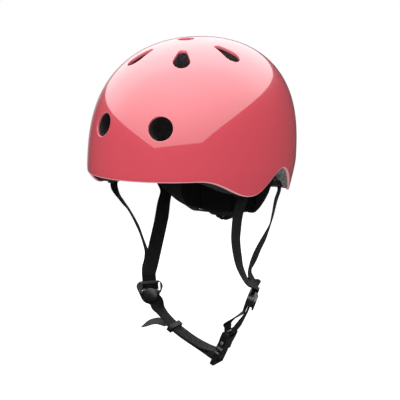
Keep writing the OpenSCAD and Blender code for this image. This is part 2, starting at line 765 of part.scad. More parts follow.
module buckle_female() {
    color(plastic_black)
    hang_at(buckle)
    difference() {
        union() {
            intersection() {
                rotate([90, 0, 0]) linear_extrude(buckle_t, center = true) socket_outline();
                rotate([90, 0, 90]) linear_extrude(buckle_w + 2, center = true)
                    translate([0, (socket_len + mouth_z) / 2 - 0.8])
                    round_rect(buckle_t, socket_len - mouth_z - 1.6, 2.4);
            }
            for (side = [-1, 1])
                translate([side * (slot_half + (buckle_w / 2 - slot_half) / 2), 0, bar_up]) rotate([0, 90, 0])
                cylinder(r = 2.4, h = buckle_w / 2 - slot_half - 0.4, center = true);
            translate([0, 0, bar_up]) rotate([0, 90, 0])
                cylinder(r = 1.6, h = 2 * slot_half + 1, center = true);
        }
        translate([-socket_x, -socket_y, mouth_z - 1])
            cube([2 * socket_x, 2 * socket_y, socket_deep - mouth_z + 1]);
        translate([-buckle_w, -socket_y, window[0]])
            cube([2 * buckle_w, 2 * socket_y, window[1] - window[0]]);
        translate([-slot_half, -buckle_t, bar_up - 1.6 - buckle_slot])
            cube([2 * slot_half, 2 * buckle_t, buckle_slot]);
        translate([-slot_half, 1.6, bar_up - 2]) cube([2 * slot_half, buckle_t, 6]);
        translate([-slot_half, -1.6 - buckle_t, bar_up - 2]) cube([2 * slot_half, buckle_t, 6]);
    }
}

// The socket seen from its face, drawn in at the two side windows
module socket_outline() {
    half = buckle_w / 2;
    waist_r = 14;
    difference() {
        translate([0, (socket_len + mouth_z) / 2]) round_rect(buckle_w, socket_len - mouth_z, 1.6);
        for (side = [-1, 1])
            translate([side * (half + waist_r - 1.4), (window[0] + window[1]) / 2]) circle(waist_r);
    }
}

module buckle_male() {
    bar = [-12, -8.5];
    slots = [[-15.4, bar[0]], [bar[1], -5]];
    color(plastic_black)
    hang_at(buckle)
    difference() {
        union() {
            intersection() {
                rotate([90, 0, 0]) linear_extrude(male_t, center = true)
                    translate([0, (male_end + male_top) / 2])
                        round_rect(buckle_w + 1, male_top - male_end, 3);
                rotate([90, 0, 90]) linear_extrude(buckle_w + 4, center = true)
                    translate([0, (male_end + male_top) / 2]) round_rect(male_t, male_top - male_end, 1.8);
            }
            translate([-1.6, -prong_t / 2, male_top - 1]) cube([3.2, prong_t, 10.3 - male_top]);
        }
        for (s = slots)
            translate([-slot_half, -male_t, s[0]]) cube([2 * slot_half, 2 * male_t, s[1] - s[0]]);
        for (side = [-1, 1])
            translate([-slot_half, side * (1.2 + male_t / 2) - male_t / 2, bar[0] - 1])
            cube([2 * slot_half, male_t, bar[1] - bar[0] + 2]);
    }
}

// A latching arm; its hook stands in the socket's window
module prong(side) {
    color(plastic_black)
    hang_at(buckle)
    rotate([90, 0, 0]) linear_extrude(prong_t, center = true)
    polygon([for (p = [
        [4.6, prong_root[1]], [6.6, prong_root[1]], [7, 2], [7.6, 4], [10.2, 4.4], [10.3, 5.4],
        [9.6, 8.6], [8.2, 10.6], [6.8, 11.2], [5.6, 9.6], [5.2, 4], [4.7, 1.5]]) [side * p.x, p.y]]);
}
module buckle_prong_front() {
    prong(-1);
}
module buckle_prong_rear() {
    prong(1);
}

// Fit dial

gear_teeth = 10;
pitch_r = gear_m * gear_teeth / 2;
pitch_len = PI * gear_m;
rack_root = pitch_r + 1.25 * gear_m;
rack_back = rack_root + 2.2;
rack_t = 2.4;
rack_slot = rack_back + fit_gap;
cover_t = 1.4;
housing_front = cradle_y - rack_t / 2 - 0.4;
housing_back = cradle_y + rack_t / 2 + 0.4;
housing_wall = 2.4;
housing_rear = housing_back + housing_wall;
housing_w = 32;
housing_h = 2 * rack_slot + 3.4;
housing_round = housing_h / 2 - 1;
shaft_r = 3;
boss_r = 3.9;
knob_front = housing_rear + 0.4;
boss_front = housing_rear + 0.6;
screw_r = 1.2;
screw_head_r = 2.1;
screw_head_t = 1.6;
dial_turn = 150;
dial_travel = pitch_r * dial_turn * PI / 180;
neck_x = housing_w / 2 + dial_travel + 1.5;

// Along the dial's axis, from the head side towards the rear
module on_dial_axis(y) {
    translate([0, y, dial_z]) rotate([-90, 0, 0]) children();
}

// Half width of a pinion tooth at a radius
tooth_shape = [[2.4, 0.42], [3.1, 0.36], [3.6, 0.46], [4, 0.47], [4.4, 0.37], [4.75, 0.2]];
module pinion_outline() {
    s = gear_m / 0.8;
    circle(2.5 * s);
    for (i = [0:gear_teeth - 1]) rotate(90 + 360 * i / gear_teeth)
        polygon(concat(
            [for (p = tooth_shape) [p[0] * s, -p[1] * s]],
            [for (j = [len(tooth_shape) - 1:-1:0]) [tooth_shape[j][0] * s, tooth_shape[j][1] * s]]));
}

module dial_pinion() {
    color(plastic_black)
    difference() {
        union() {
            on_dial_axis(cradle_y - rack_t / 2) linear_extrude(rack_t) mirror([0, 1]) pinion_outline();
            on_dial_axis(cradle_y + rack_t / 2) cylinder(r = shaft_r, h = boss_front - cradle_y - rack_t / 2);
        }
        on_dial_axis(housing_front) cylinder(r = screw_r + pin_gap, h = 20);
        on_dial_axis(housing_front)
            cylinder(r = screw_head_r + 0.1, h = cradle_y - rack_t / 2 - housing_front + 1.8);
    }
}

// A rack above the pinion for the left band, below it for the right one
module rack(side) {
    flank = tan(20);
    tooth = 0.4 * pitch_len;
    tip = 0.75 * gear_m;
    root = 1.2 * gear_m;
    inner_x = -15;
    outer_x = neck_x;
    teeth = floor((housing_w / 2 - inner_x - 2) / pitch_len);
    // Half widths of the gap between two teeth, at its mouth and at its floor
    mouth = (pitch_len - tooth) / 2 + tip * flank + 0.2;
    floor_half = (pitch_len - tooth) / 2 - root * flank;
    color(plastic_black)
    translate([0, cradle_y + rack_t / 2, dial_z])
    rotate([90, 0, 0])
    linear_extrude(rack_t)
    scale([side, side])
    difference() {
        translate([inner_x, pitch_r - tip]) square([outer_x - inner_x, rack_back - pitch_r + tip]);
        translate([inner_x + (teeth + 0.7) * pitch_len, pitch_r - tip - 1])
            square([outer_x - inner_x, rack_root - pitch_r + tip + 1]);
        for (i = [-ceil(-inner_x / pitch_len) - 1:teeth - 5])
            translate([i * pitch_len, pitch_r])
            polygon([[-mouth, -tip - 0.3], [mouth, -tip - 0.3], [floor_half, root], [-floor_half, root]]);
    }
}
module fit_rack_left() {
    rack(1);
}
module fit_rack_right() {
    rack(-1);
}

module dial_housing() {
    color(plastic_black)
    difference() {
        translate([0, housing_rear, dial_z]) rotate([90, 0, 0])
            linear_extrude(housing_rear - housing_front) round_rect(housing_w, housing_h, housing_round);
        translate([-housing_w, housing_front - 1, dial_z - rack_slot])
            cube([2 * housing_w, housing_back - housing_front + 1, 2 * rack_slot]);
        on_dial_axis(housing_front) cylinder(r = shaft_r + pin_gap, h = 20);
    }
}

module dial_cover() {
    color(plastic_black)
    translate([0, housing_front, dial_z]) rotate([90, 0, 0])
    linear_extrude(cover_t)
    round_rect(housing_w, housing_h, housing_round);
}

detent_notch_r = 0.9;
detent_wall_r = knob_r - 3;
module dial_knob() {
    grips = 16;
    notches = 24;
    color(plastic_black)
    on_dial_axis(0)
    difference() {
        rotate_extrude() polygon([
            [0, boss_front], [boss_r, boss_front], [boss_r, knob_front + 3], [detent_wall_r, knob_front + 3],
            [detent_wall_r, knob_front], [knob_r - 0.8, knob_front], [knob_r, knob_front + 0.8],
            [knob_r, knob_front + knob_h - 3], [knob_r - 1.2, knob_front + knob_h - 1],
            [knob_r - 3, knob_front + knob_h], [0, knob_front + knob_h]]);
        for (i = [0:grips - 1]) rotate(360 * i / grips) translate([knob_r + 1, 0, knob_front - 1])
            cylinder(r = 2, h = knob_h + 2, $fn = 24);
        for (i = [0:notches - 1]) rotate(360 * i / notches) translate([detent_wall_r, 0, knob_front - 1])
            cylinder(r = detent_notch_r, h = 4, $fn = 16);
        translate([0, 0, boss_front - 1]) cylinder(r = screw_r + pin_gap, h = knob_h - 2);
    }
}

// Leaf ring on the housing whose nose clicks in the knob's notches
module dial_detent() {
    ring = [boss_r + 1.6, boss_r + 2.8];
    color(steel_grey)
    on_dial_axis(housing_rear)
    linear_extrude(1.8) {
        difference() {
            circle(ring[1]);
            circle(ring[0]);
            translate([-1.5, -ring[1] - 1]) square([3, 4]);
        }
        translate([-1, ring[1] - 0.4]) square([2, detent_wall_r - ring[1] - 1.4]);
        translate([0, detent_wall_r - 1.4]) circle(1);
    }
}

module dial_screw() {
    color(steel_grey)
    difference() {
        on_dial_axis(cradle_y - rack_t / 2 + 0.1) {
            cylinder(r = screw_head_r, h = screw_head_t);
            cylinder(r = screw_r, h = boss_front + knob_h - 4 - cradle_y + rack_t / 2);
        }
        for (a = [0, 90])
            translate([0, cradle_y - rack_t / 2, dial_z]) rotate([0, a, 0])
            cube([2.6, 1.6, 0.6], center = true);
    }
}

// Bands round the back of the head, from the racks to the clips: [x, y, low, high]
clip_at = [77, 32];
clip_block_top = -18.4;
band_top = clip_block_top - 2.2;
band_last = [69.5, 35.8];
clip_turn = atan2(clip_at.y - band_last.y, clip_at.x - band_last.x);
clip_way = [cos(clip_turn), sin(clip_turn)];
rack_low = pitch_r - 1;
// Each neck meets its own rack and leaves room for the other one: [low, high] from the dial's axis
band_necks = [
    [[rack_low, rack_back], [-1.2, 10], [-2.4, 17.5]],
    [[-rack_back, -rack_low], [-7.4, 1.4], [-6.6, 2.6]]];
band_neck_places = [[0.35, 0], [3, -0.6], [8, -1.8]];
band_stations = [
    [44, 49.6, -61.5, -34],
    [51, 46.2, -57, -30],
    [57.5, 42.7, -51, -26],
    [63.5, 39.2, -44.5, -23.5],
    [band_last.x, band_last.y, -36.5, -22],
    [clip_at.x - 4 * clip_way.x, clip_at.y - 4 * clip_way.y, -29.5, band_top],
    [clip_at.x + 2 * clip_way.x, clip_at.y + 2 * clip_way.y, -27, band_top]];
module fit_band(side) {
    neck = band_necks[side > 0 ? 0 : 1];
    neck_stations = [for (i = [0:2]) let(q = band_neck_places[i])
        [neck_x + q.x, cradle_y + q.y, dial_z + neck[i][0], dial_z + neck[i][1]]];
    k = smooth(concat(neck_stations, band_stations), 2);
    m = len(k);
    out = [for (i = [0:m - 1]) let(a = k[max(i - 1, 0)], b = k[min(i + 1, m - 1)])
        unit([a.y - b.y, b.x - a.x, 0]) * band_t / 2];
    pts = [for (i = [0:m - 1]) let(p = [k[i].x, k[i].y, 0], lo = [0, 0, k[i][2]], hi = [0, 0, k[i][3]])
        each [p - out[i] + lo, p + out[i] + lo, p + out[i] + hi, p - out[i] + hi]];
    color(plastic_black)
    scale([side, 1, 1])
    polyhedron(pts, concat([[0, 1, 2], [0, 2, 3]],
        [for (i = [0:m - 2], j = [0:3]) let(a = 4 * i + j, b = 4 * i + (j + 1) % 4)
            each [[a, b + 4, b], [a, a + 4, b + 4]]],
        [[4 * m - 4, 4 * m - 2, 4 * m - 3], [4 * m - 4, 4 * m - 1, 4 * m - 2]]));
}
module fit_band_left() {
    fit_band(1);
}
module fit_band_right() {
    fit_band(-1);
}

// Clip: a pin in the liner and a block that takes the band's end
clip_pin_r = 2.4;
clip_block = [6.4, 12, 8];
clip_pin_top = -1;
module clip_pin(grow) {
    translate([clip_at.x, clip_at.y, clip_block_top - 1])
        cylinder(r = clip_pin_r + grow, h = clip_pin_top - clip_block_top + 1 + grow);
}
module fit_clip(side) {
    slot = band_t + 2 * fit_gap + 0.2;
    color(plastic_black)
    scale([side, 1, 1])
    difference() {
        union() {
            clip_pin(0);
            translate([clip_at.x, clip_at.y, clip_block_top - clip_block.z / 2]) rotate([0, 0, clip_turn])
                round_bar(clip_block.y, clip_block.x, clip_block.z, 2);
        }
        translate([clip_at.x, clip_at.y, clip_block_top - clip_block.z - 1]) rotate([0, 0, clip_turn])
            translate([-clip_block.y, -slot / 2, 0])
            cube([clip_block.y + 3.4, slot, clip_block.z - 1 + 0.1]);
    }
}
module fit_clip_left() {
    fit_clip(1);
}
module fit_clip_right() {
    fit_clip(-1);
}

// Padding on the head side of the cradle
occipital_w = 46;
occipital_z = [-65, -31];
occipital_t = 5;
module occipital_pad() {
    nu = 16;
    nv = 6;
    back_y = housing_front - cover_t - fit_gap;
    function at(u, v, t) = let(uu = u * sqrt(1 - 0.2 * v * v), vv = v * sqrt(1 - 0.2 * u * u)) [
        occipital_w * uu, back_y - 3.4 * uu * uu - t,
        (occipital_z[0] + occipital_z[1]) / 2 + (occipital_z[1] - occipital_z[0]) / 2 * vv + 3 * uu * uu];
    function crown(u, v) = sqrt((1 - pow(abs(u), 4)) * (1 - pow(abs(v), 4)));
    color(pad_black)
    grid_solid(nu, nv,
        [for (j = [0:nv], i = [0:nu]) at(1 - 2 * i / nu, 2 * j / nv - 1, 0)],
        [for (j = [0:nv], i = [0:nu]) let(u = 1 - 2 * i / nu, v = 2 * j / nv - 1)
            at(u, v, pad_edge + (occipital_t - pad_edge) * crown(u, v))]);
}

outer_shell();
eps_liner();
brow_pad();
crown_pad();
rear_pad();
side_pad_left();
side_pad_right();
pad_dots();
strap_anchor_front_left();
strap_anchor_front_right();
strap_anchor_rear_left();
strap_anchor_rear_right();
strap_front_left();
strap_front_right();
strap_rear_left();
strap_rear_right();
divider_body_left();
divider_body_right();
divider_cam_left();
divider_cam_right();
divider_pin_left();
divider_pin_right();
buckle_strap();
chin_strap();
strap_keeper();
buckle_female();
buckle_male();
buckle_prong_front();
buckle_prong_rear();
fit_band_left();
fit_band_right();
fit_rack_left();
fit_rack_right();
fit_clip_left();
fit_clip_right();
dial_housing();
dial_cover();
dial_knob();
dial_pinion();
dial_detent();
dial_screw();
occipital_pad();
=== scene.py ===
"""Looks of the child's bicycle helmet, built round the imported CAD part.

Metres in Blender; the builders below work in millimetres and scale on the way in.
"""

import math

import bmesh
import bpy
import numpy as np
from mathutils import Matrix, Vector
from mathutils.geometry import delaunay_2d_cdt


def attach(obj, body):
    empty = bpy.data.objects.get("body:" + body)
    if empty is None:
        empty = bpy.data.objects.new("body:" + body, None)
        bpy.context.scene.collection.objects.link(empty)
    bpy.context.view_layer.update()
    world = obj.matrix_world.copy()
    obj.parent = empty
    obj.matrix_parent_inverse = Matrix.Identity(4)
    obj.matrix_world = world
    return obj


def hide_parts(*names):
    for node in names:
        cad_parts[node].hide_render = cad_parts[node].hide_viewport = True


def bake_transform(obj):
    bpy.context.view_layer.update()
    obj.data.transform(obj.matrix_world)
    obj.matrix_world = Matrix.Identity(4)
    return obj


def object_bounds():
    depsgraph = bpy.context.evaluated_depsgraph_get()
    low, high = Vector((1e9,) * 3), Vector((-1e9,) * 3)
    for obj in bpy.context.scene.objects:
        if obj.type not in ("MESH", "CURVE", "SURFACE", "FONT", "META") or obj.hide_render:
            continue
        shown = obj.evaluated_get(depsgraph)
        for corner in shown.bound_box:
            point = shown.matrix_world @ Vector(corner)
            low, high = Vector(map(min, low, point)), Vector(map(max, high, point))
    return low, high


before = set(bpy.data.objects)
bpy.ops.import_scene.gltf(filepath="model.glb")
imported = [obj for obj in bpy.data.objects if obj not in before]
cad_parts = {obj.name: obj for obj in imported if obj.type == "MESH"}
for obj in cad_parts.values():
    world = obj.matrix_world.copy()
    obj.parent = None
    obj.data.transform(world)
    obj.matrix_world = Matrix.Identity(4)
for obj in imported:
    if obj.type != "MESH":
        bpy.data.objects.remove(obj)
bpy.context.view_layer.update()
MM = 0.001

# ---------------------------------------------------------------- helpers


def unit(v):
    v = np.asarray(v, float)
    return v / np.linalg.norm(v, axis=-1, keepdims=True)


def link(name, mesh):
    ob = bpy.data.objects.new(name, mesh)
    bpy.context.scene.collection.objects.link(ob)
    return ob


def solid(name, points, faces, material, body="helmet", normals=None, uv=None, hides=()):
    """An object from points in millimetres, riding on a body."""
    mesh = bpy.data.meshes.new(name)
    mesh.from_pydata([tuple(p) for p in np.asarray(points) * MM], [], [tuple(f) for f in faces])
    if uv is not None:
        layer = mesh.uv_layers.new(name="UVMap")
        index = np.zeros(len(mesh.loops), int)
        mesh.loops.foreach_get("vertex_index", index)
        layer.data.foreach_set("uv", np.asarray(uv, np.float32)[index].ravel())
    mesh.polygons.foreach_set("use_smooth", [True] * len(mesh.polygons))
    mesh.materials.append(material)
    mesh.validate()
    if normals is not None:
        mesh.normals_split_custom_set_from_vertices([tuple(n) for n in normals])
    ob = link(name, mesh)
    if body:
        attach(ob, body)
    if hides:
        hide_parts(*hides)
    return ob


def tube_faces(rings, count):
    """Quads between rings of count points each, and a face over either end."""
    faces = []
    for i in range(rings - 1):
        for j in range(count):
            a, b = i * count + j, i * count + (j + 1) % count
            faces.append((a, b, b + count, a + count))
    faces.append(tuple(range(count - 1, -1, -1)))
    faces.append(tuple((rings - 1) * count + j for j in range(count)))
    return faces


def face_outward(ob):
    bm = bmesh.new()
    bm.from_mesh(ob.data)
    bmesh.ops.recalc_face_normals(bm, faces=bm.faces)
    bm.to_mesh(ob.data)
    bm.free()


# ---------------------------------------------------------------- materials


def srgb(r, g, b):
    def one(c):
        c /= 255
        return c / 12.92 if c <= 0.04045 else ((c + 0.055) / 1.055) ** 2.4

    return (one(r), one(g), one(b), 1.0)


class Look:
    """A Principled material with a few procedural layers."""

    def __init__(self, name, color, roughness, **sockets):
        self.mat = bpy.data.materials.new(name)
        self.mat.use_nodes = True
        self.nodes = self.mat.node_tree.nodes
        self.links = self.mat.node_tree.links
        self.shader = self.nodes["Principled BSDF"]
        self.color = color
        self.shader.inputs["Base Color"].default_value = color
        self.shader.inputs["Roughness"].default_value = roughness
        self.roughness = roughness
        for key, value in sockets.items():
            self.shader.inputs[key.replace("_", " ")].default_value = value
        self.bump = None
        self.coords = self.nodes.new("ShaderNodeTexCoord")

    def node(self, kind, **values):
        n = self.nodes.new(kind)
        for key, value in values.items():
            if key[0].islower():
                setattr(n, key, value)
            else:
                n.inputs[key.replace("_", " ")].default_value = value
        return n

    def place(self, scale, uv=False, rotation=(0, 0, 0)):
        m = self.node("ShaderNodeMapping")
        m.inputs["Scale"].default_value = scale if isinstance(scale, tuple) else (scale,) * 3
        m.inputs["Rotation"].default_value = rotation
        self.links.new(self.coords.outputs["UV" if uv else "Object"], m.inputs["Vector"])
        return m.outputs["Vector"]

    def noise(self, scale, detail=4, rough=0.55, uv=False):
        n = self.node("ShaderNodeTexNoise", Detail=detail, Roughness=rough, Scale=1.0)
        self.links.new(self.place(scale, uv), n.inputs["Vector"])
        return n.outputs["Fac"]

    def cells(self, scale, feature="F1"):
        n = self.node("ShaderNodeTexVoronoi", feature=feature, Scale=1.0)
        self.links.new(self.place(scale), n.inputs["Vector"])
        return n

    def math(self, op, a, b=0.0):
        n = self.node("ShaderNodeMath", operation=op)
        for socket, value in zip(n.inputs, (a, b)):
            if isinstance(value, (int, float)):
                socket.default_value = value
            else:
                self.links.new(value, socket)
        return n.outputs[0]

    def ramp(self, fac, lo, hi, a=0.0, b=1.0):
        n = self.node("ShaderNodeMapRange")
        self.links.new(fac, n.inputs["Value"])
        n.inputs["From Min"].default_value = lo
        n.inputs["From Max"].default_value = hi
        n.inputs["To Min"].default_value = a
        n.inputs["To Max"].default_value = b
        return n.outputs["Result"]

    def tint(self, fac, other, base=None):
        """Mixes the base colour towards another where fac is high."""
        n = self.node("ShaderNodeMix", data_type="RGBA")
        self.links.new(fac, n.inputs["Factor"])
        # the colour sockets of the Mix node share their names with the float ones
        a = [s for s in n.inputs if s.name == "A" and s.type == "RGBA"][0]
        b = [s for s in n.inputs if s.name == "B" and s.type == "RGBA"][0]
        if base is None:
            a.default_value = self.color
        else:
            self.links.new(base, a)
        b.default_value = other
        out = [s for s in n.outputs if s.type == "RGBA"][0]
        self.links.new(out, self.shader.inputs["Base Color"])
        return out

    def vary_roughness(self, fac, spread):
        self.links.new(
            self.ramp(fac, 0.25, 0.75, self.roughness - spread, self.roughness + spread),
            self.shader.inputs["Roughness"],
        )

    def relief(self, height, distance_mm, strength=1.0):
        b = self.node("ShaderNodeBump", Strength=strength, Distance=distance_mm * MM)
        self.links.new(height, b.inputs["Height"])
        if self.bump:
            self.links.new(self.bump, b.inputs["Normal"])
        self.bump = b.outputs["Normal"]
        self.links.new(self.bump, self.shader.inputs["Normal"])


def make_shell():
    coat = {"Coat_Weight": 1.0, "Coat_Roughness": 0.02}
    k = Look("coral_gloss", srgb(206, 76, 89), 0.3, Specular_IOR_Level=0.1, **coat)
    k.tint(k.ramp(k.noise(9, 3), 0.35, 0.75, 0, 0.35), srgb(202, 71, 84))
    k.vary_roughness(k.noise(120, 5), 0.03)
    k.relief(k.noise(420, 2), 0.006, 0.6)
    return k.mat


def make_foam(name, color):
    def shade_of(share):
        return srgb(*(c * share for c in color))

    k = Look(name, srgb(*color), 0.78, Specular_IOR_Level=0.25)
    beads = k.cells(290)
    edge = k.cells(290, "DISTANCE_TO_EDGE")
    shade = k.tint(k.ramp(beads.outputs["Color"], 0.0, 1.0, 0.0, 0.5), shade_of(1.22))
    k.tint(k.ramp(edge.outputs["Distance"], 0.0, 0.12, 0.75, 0.0), shade_of(0.6), shade)
    k.relief(k.ramp(edge.outputs["Distance"], 0.0, 0.25), 0.5, 0.8)
    k.relief(k.noise(900, 3), 0.06, 0.6)
    return k.mat


def make_webbing():
    sheen = {"Sheen_Weight": 0.02, "Sheen_Roughness": 0.5}
    k = Look("webbing", srgb(12, 11, 11), 0.75, Specular_IOR_Level=0.12, **sheen)
    sep = k.node("ShaderNodeSeparateXYZ")
    k.links.new(k.place(1.0, uv=True), sep.inputs[0])
    u, v = sep.outputs["X"], sep.outputs["Y"]
    tau = 2 * math.pi
    # u and v are in millimetres: ribs run along, picks across, and the two interlock
    ribs = k.math("SINE", k.math("MULTIPLY", u, tau / 1.25))
    along = k.math("MULTIPLY", v, tau / 1.5)
    slant = k.math("ADD", along, k.math("MULTIPLY", k.math("SIGN", ribs), 1.4))
    picks = k.math("SINE", slant)
    high = k.math("MULTIPLY", k.math("ABSOLUTE", ribs), 0.6)
    weave = k.math("ADD", high, k.math("MULTIPLY", picks, 0.4))
    dark = k.tint(k.ramp(weave, 0.0, 1.0, 0.0, 0.7), srgb(20, 18, 19))
    k.tint(k.ramp(k.noise(260, 3), 0.45, 0.8, 0, 0.35), srgb(16, 15, 15), dark)
    k.relief(weave, 0.14, 0.8)
    k.relief(k.noise(2600, 2), 0.03, 0.5)
    return k.mat


def make_pad():
    sheen = {"Sheen_Weight": 0.02, "Sheen_Roughness": 0.6}
    k = Look("pad_fabric", srgb(11, 10, 11), 0.92, Specular_IOR_Level=0.06, **sheen)
    knit = k.cells(760)
    k.tint(k.ramp(knit.outputs["Distance"], 0.1, 0.6, 0.0, 0.7), srgb(6, 6, 6))
    k.relief(k.math("MULTIPLY", knit.outputs["Distance"], -1.0), 0.22, 0.7)
    k.relief(k.noise(150, 4), 0.25, 0.5)
    return k.mat


def make_moulded(name="moulded_black", color=(23, 22, 23), rough=0.42, grain=0.02):
    k = Look(name, srgb(*color), rough, Specular_IOR_Level=0.45)
    k.vary_roughness(k.noise(180, 5), 0.07)
    k.relief(k.noise(1500, 3), grain, 0.7)
    k.tint(k.ramp(k.noise(60, 3), 0.4, 0.8, 0, 0.4), srgb(*(c + 9 for c in color)))
    return k.mat


def make_rubber():
    k = Look("rubber_black", srgb(14, 13, 14), 0.62, Specular_IOR_Level=0.22)
    k.vary_roughness(k.noise(240, 4), 0.08)
    k.relief(k.noise(900, 3), 0.03, 0.6)
    return k.mat


def make_steel():
    k = Look("turned_steel", (0.56, 0.56, 0.58, 1), 0.3, Metallic=1.0)
    k.vary_roughness(k.noise((900, 60, 900), 4), 0.08)
    k.relief(k.noise((1800, 90, 1800), 3), 0.01, 0.6)
    return k.mat


def make_hooks():
    k = Look("hook_tape", srgb(26, 26, 27), 0.85, Specular_IOR_Level=0.2)
    dots = k.cells(1100)
    k.relief(k.math("MULTIPLY", dots.outputs["Distance"], -1.0), 0.3, 0.9)
    return k.mat


def make_edge(name, color, worn, roughness):
    """The trimmed edges of the shell: less polished than its face, and paler. At the rim the paleness
    is partly a paler cut edge and partly a painted highlight; in the vents it is a painted highlight of
    the light from above.
    """
    k = Look(name, srgb(*color), roughness, Specular_IOR_Level=0.4)
    k.tint(k.ramp(k.noise(300, 4), 0.35, 0.8, 0, 0.5), srgb(*worn))
    k.relief(k.noise(1400, 3), 0.03, 0.6)
    return k.mat


SHELL, WEB, PAD = make_shell(), make_webbing(), make_pad()
# The liner's rim foam is a lighter grey than the foam itself: painted light, standing for the light
# that reaches its rear rim in the ear notch.
FOAM, FOAM_RIM_LIT = make_foam("bead_foam", (48, 45, 45)), make_foam("bead_foam_rim_painted_light", (124, 120, 121))
# Shell rim edge: paler than the face, partly a paler cut edge and partly a painted highlight where the
# rounded edge catches the light.
RIM_EDGE_AND_HIGHLIGHT = make_edge("coral_cut_edge_and_highlight", (228, 168, 174), (216, 146, 154), 0.42)
# Shell walls inside the vents: painted paler than the shell, a painted highlight standing for the light
# from above that falls into the vents.
VENT_WALL_HIGHLIGHT = make_edge("coral_vent_wall_highlight", (226, 122, 132), (216, 104, 116), 0.3)
BLACK, RUBBER, STEEL, HOOKS = make_moulded(), make_rubber(), make_steel(), make_hooks()
BAND = make_moulded("band_black", (17, 15, 16), 0.5, 0.03)
GLOSS = make_moulded("acetal_black", (15, 14, 15), 0.3, 0.008)

# ---------------------------------------------------------------- the dome

HALF_W, HALF_L, CROWN = 101.0, 123.5, 125.0
LEAN, TAPER = 0.085, 0.085
SIDE, ROUND = 2.65, 2.17
WALL, FOAM_T = 3.0, 22.0
# below the widest level the taper sets in over BEND, and is all there 50 mm down, where its term is
# TAPER_RUN
BEND, TAPER_RUN = 10, 40.99
CAVITY = WALL + 0.3 + FOAM_T


class Dome:
    """The helmet's dome, drawn in by an inset. phi is in radians from the front towards +X."""

    def __init__(self, inset, straight=False):
        self.w, self.l, self.h = HALF_W - inset, HALF_L - inset, CROWN - inset
        self.straight = straight
        t = np.linspace(math.pi / 2, 0, 500)
        z = np.concatenate([self.h * np.sin(t) ** (2 / SIDE), -np.linspace(0.25, 48, 192)])
        r = self.level(z)
        step = np.hypot(np.diff(r) * (self.w + self.l) / 2, np.diff(z))
        self.s, self.z, self.r = np.concatenate([[0], np.cumsum(step)]), z, r

    def level(self, z):
        z = np.asarray(z, float)
        up = np.clip(1 - (np.clip(z, 0, self.h) / self.h) ** SIDE, 0, 1) ** (1 / ROUND)
        low = np.minimum(z, 0)
        down = 1 - (0 if self.straight else TAPER) * (np.sqrt(low**2 + BEND**2) - BEND) / TAPER_RUN
        return np.where(z >= 0, up, down)

    def at(self, phi, z, r=None):
        r = self.level(z) if r is None else r
        z = np.asarray(z, float) + 0 * np.asarray(phi)
        return np.stack([self.w * r * np.sin(phi), -self.l * r * np.cos(phi) + LEAN * z, z], -1)

    def gradient(self, p):
        """Value and gradient of q(x, y) - r(z), scaled to stay finite at the crown."""
        x, y, z = p[..., 0], p[..., 1] - LEAN * p[..., 2], p[..., 2]
        q = np.maximum(np.hypot(x / self.w, y / self.l), 1e-9)
        u = np.clip((np.clip(z, 0, self.h) / self.h) ** SIDE, 0, 1)
        k = (1 - u) ** (1 - 1 / ROUND)
        low = np.minimum(z, 0)
        fall = SIDE / (ROUND * self.h) * (np.clip(z, 0, self.h) / self.h) ** (SIDE - 1)
        if not self.straight:
            fall = fall + np.where(z < 0, TAPER * low / (np.sqrt(low**2 + BEND**2) * TAPER_RUN), 0)
        gx, gy = k * x / (self.w**2 * q), k * y / (self.l**2 * q)
        g = np.stack([gx, gy, -LEAN * gy + fall], -1)
        return k * (q - self.level(z)), g

    def normal(self, p):
        return unit(self.gradient(np.asarray(p, float))[1])

    def onto(self, p):
        """The nearest point of the dome, near enough."""
        p = np.array(p, float)
        for _ in range(6):
            f, g = self.gradient(p)
            p -= (f / (g * g).sum(-1))[..., None] * g
        return p

    def above(self, x, y):
        z = np.full_like(x, self.h * 0.8)
        for _ in range(40):
            q = np.hypot(x / self.w, (y - LEAN * z) / self.l)
            z = self.h * np.clip(1 - q**ROUND, 0, 1) ** (1 / SIDE)
        return np.stack([x, y, z], -1)

    def along(self, start, way):
        """Where lines from start, along way, cross the dome."""
        t = np.zeros(len(start))
        for _ in range(30):
            p = start + t[:, None] * way
            f, g = self.gradient(p)
            t -= f / (g @ way)
        return start + t[:, None] * way

    def flat(self, p):
        """The chart used for triangulating: distance from the crown, and the angle round it."""
        x, y, z = p[..., 0] / self.w, (p[..., 1] - LEAN * p[..., 2]) / self.l, p[..., 2]
        q = np.hypot(x, y)
        s = np.where(
            z < 0.8 * self.h,
            np.interp(-z, -self.z, self.s),
            np.interp(q, self.r[:500], self.s[:500]),
        )
        phi = np.arctan2(x, -y)
        return np.stack([s * np.sin(phi), -s * np.cos(phi)], -1)

    def unflat(self, uv):
        s, phi = np.hypot(uv[..., 0], uv[..., 1]), np.arctan2(uv[..., 0], -uv[..., 1])
        return self.at(phi, np.interp(s, self.s, self.z), np.interp(s, self.s, self.r))


def ease(y, a, b):
    return a[1] + (b[1] - a[1]) * (1 - np.cos(math.pi * (y - a[0]) / (b[0] - a[0]))) / 2


RIM = [(-92.0, -8.0), (-36.0, -27.5), (-34.0, -27.5), (13.0, -4.7), (66.0, -36.0)]


def rim_z(y):
    y = np.asarray(y, float)
    z = np.where(y < RIM[0][0], RIM[0][1], RIM[-1][1])
    for a, b in zip(RIM, RIM[1:]):
        z = np.where((y >= a[0]) & (y < b[0]), ease(y, a, b), z)
    return z


def rim_loop(dome, lift, count=540):
    phi = np.linspace(0, 2 * math.pi, count, endpoint=False)
    z = np.full(count, -15.0)
    for _ in range(60):
        z = 0.5 * z + 0.5 * (rim_z(dome.at(phi, z)[:, 1]) + lift)
    return dome.at(phi, z)


# a drop vent's near and far end from the point its group fans out from, and either end's radius
DROP_NEAR, DROP_FAR, DROP_THIN, DROP_WIDE = 36.3, 63.5, 4.5, 8.6
CROWN_VENT_R, CROWN_VENT_Y = 8.3, -12.0
ROUND_VENT_R, ROUND_VENT_Z = 12.0, 44.0


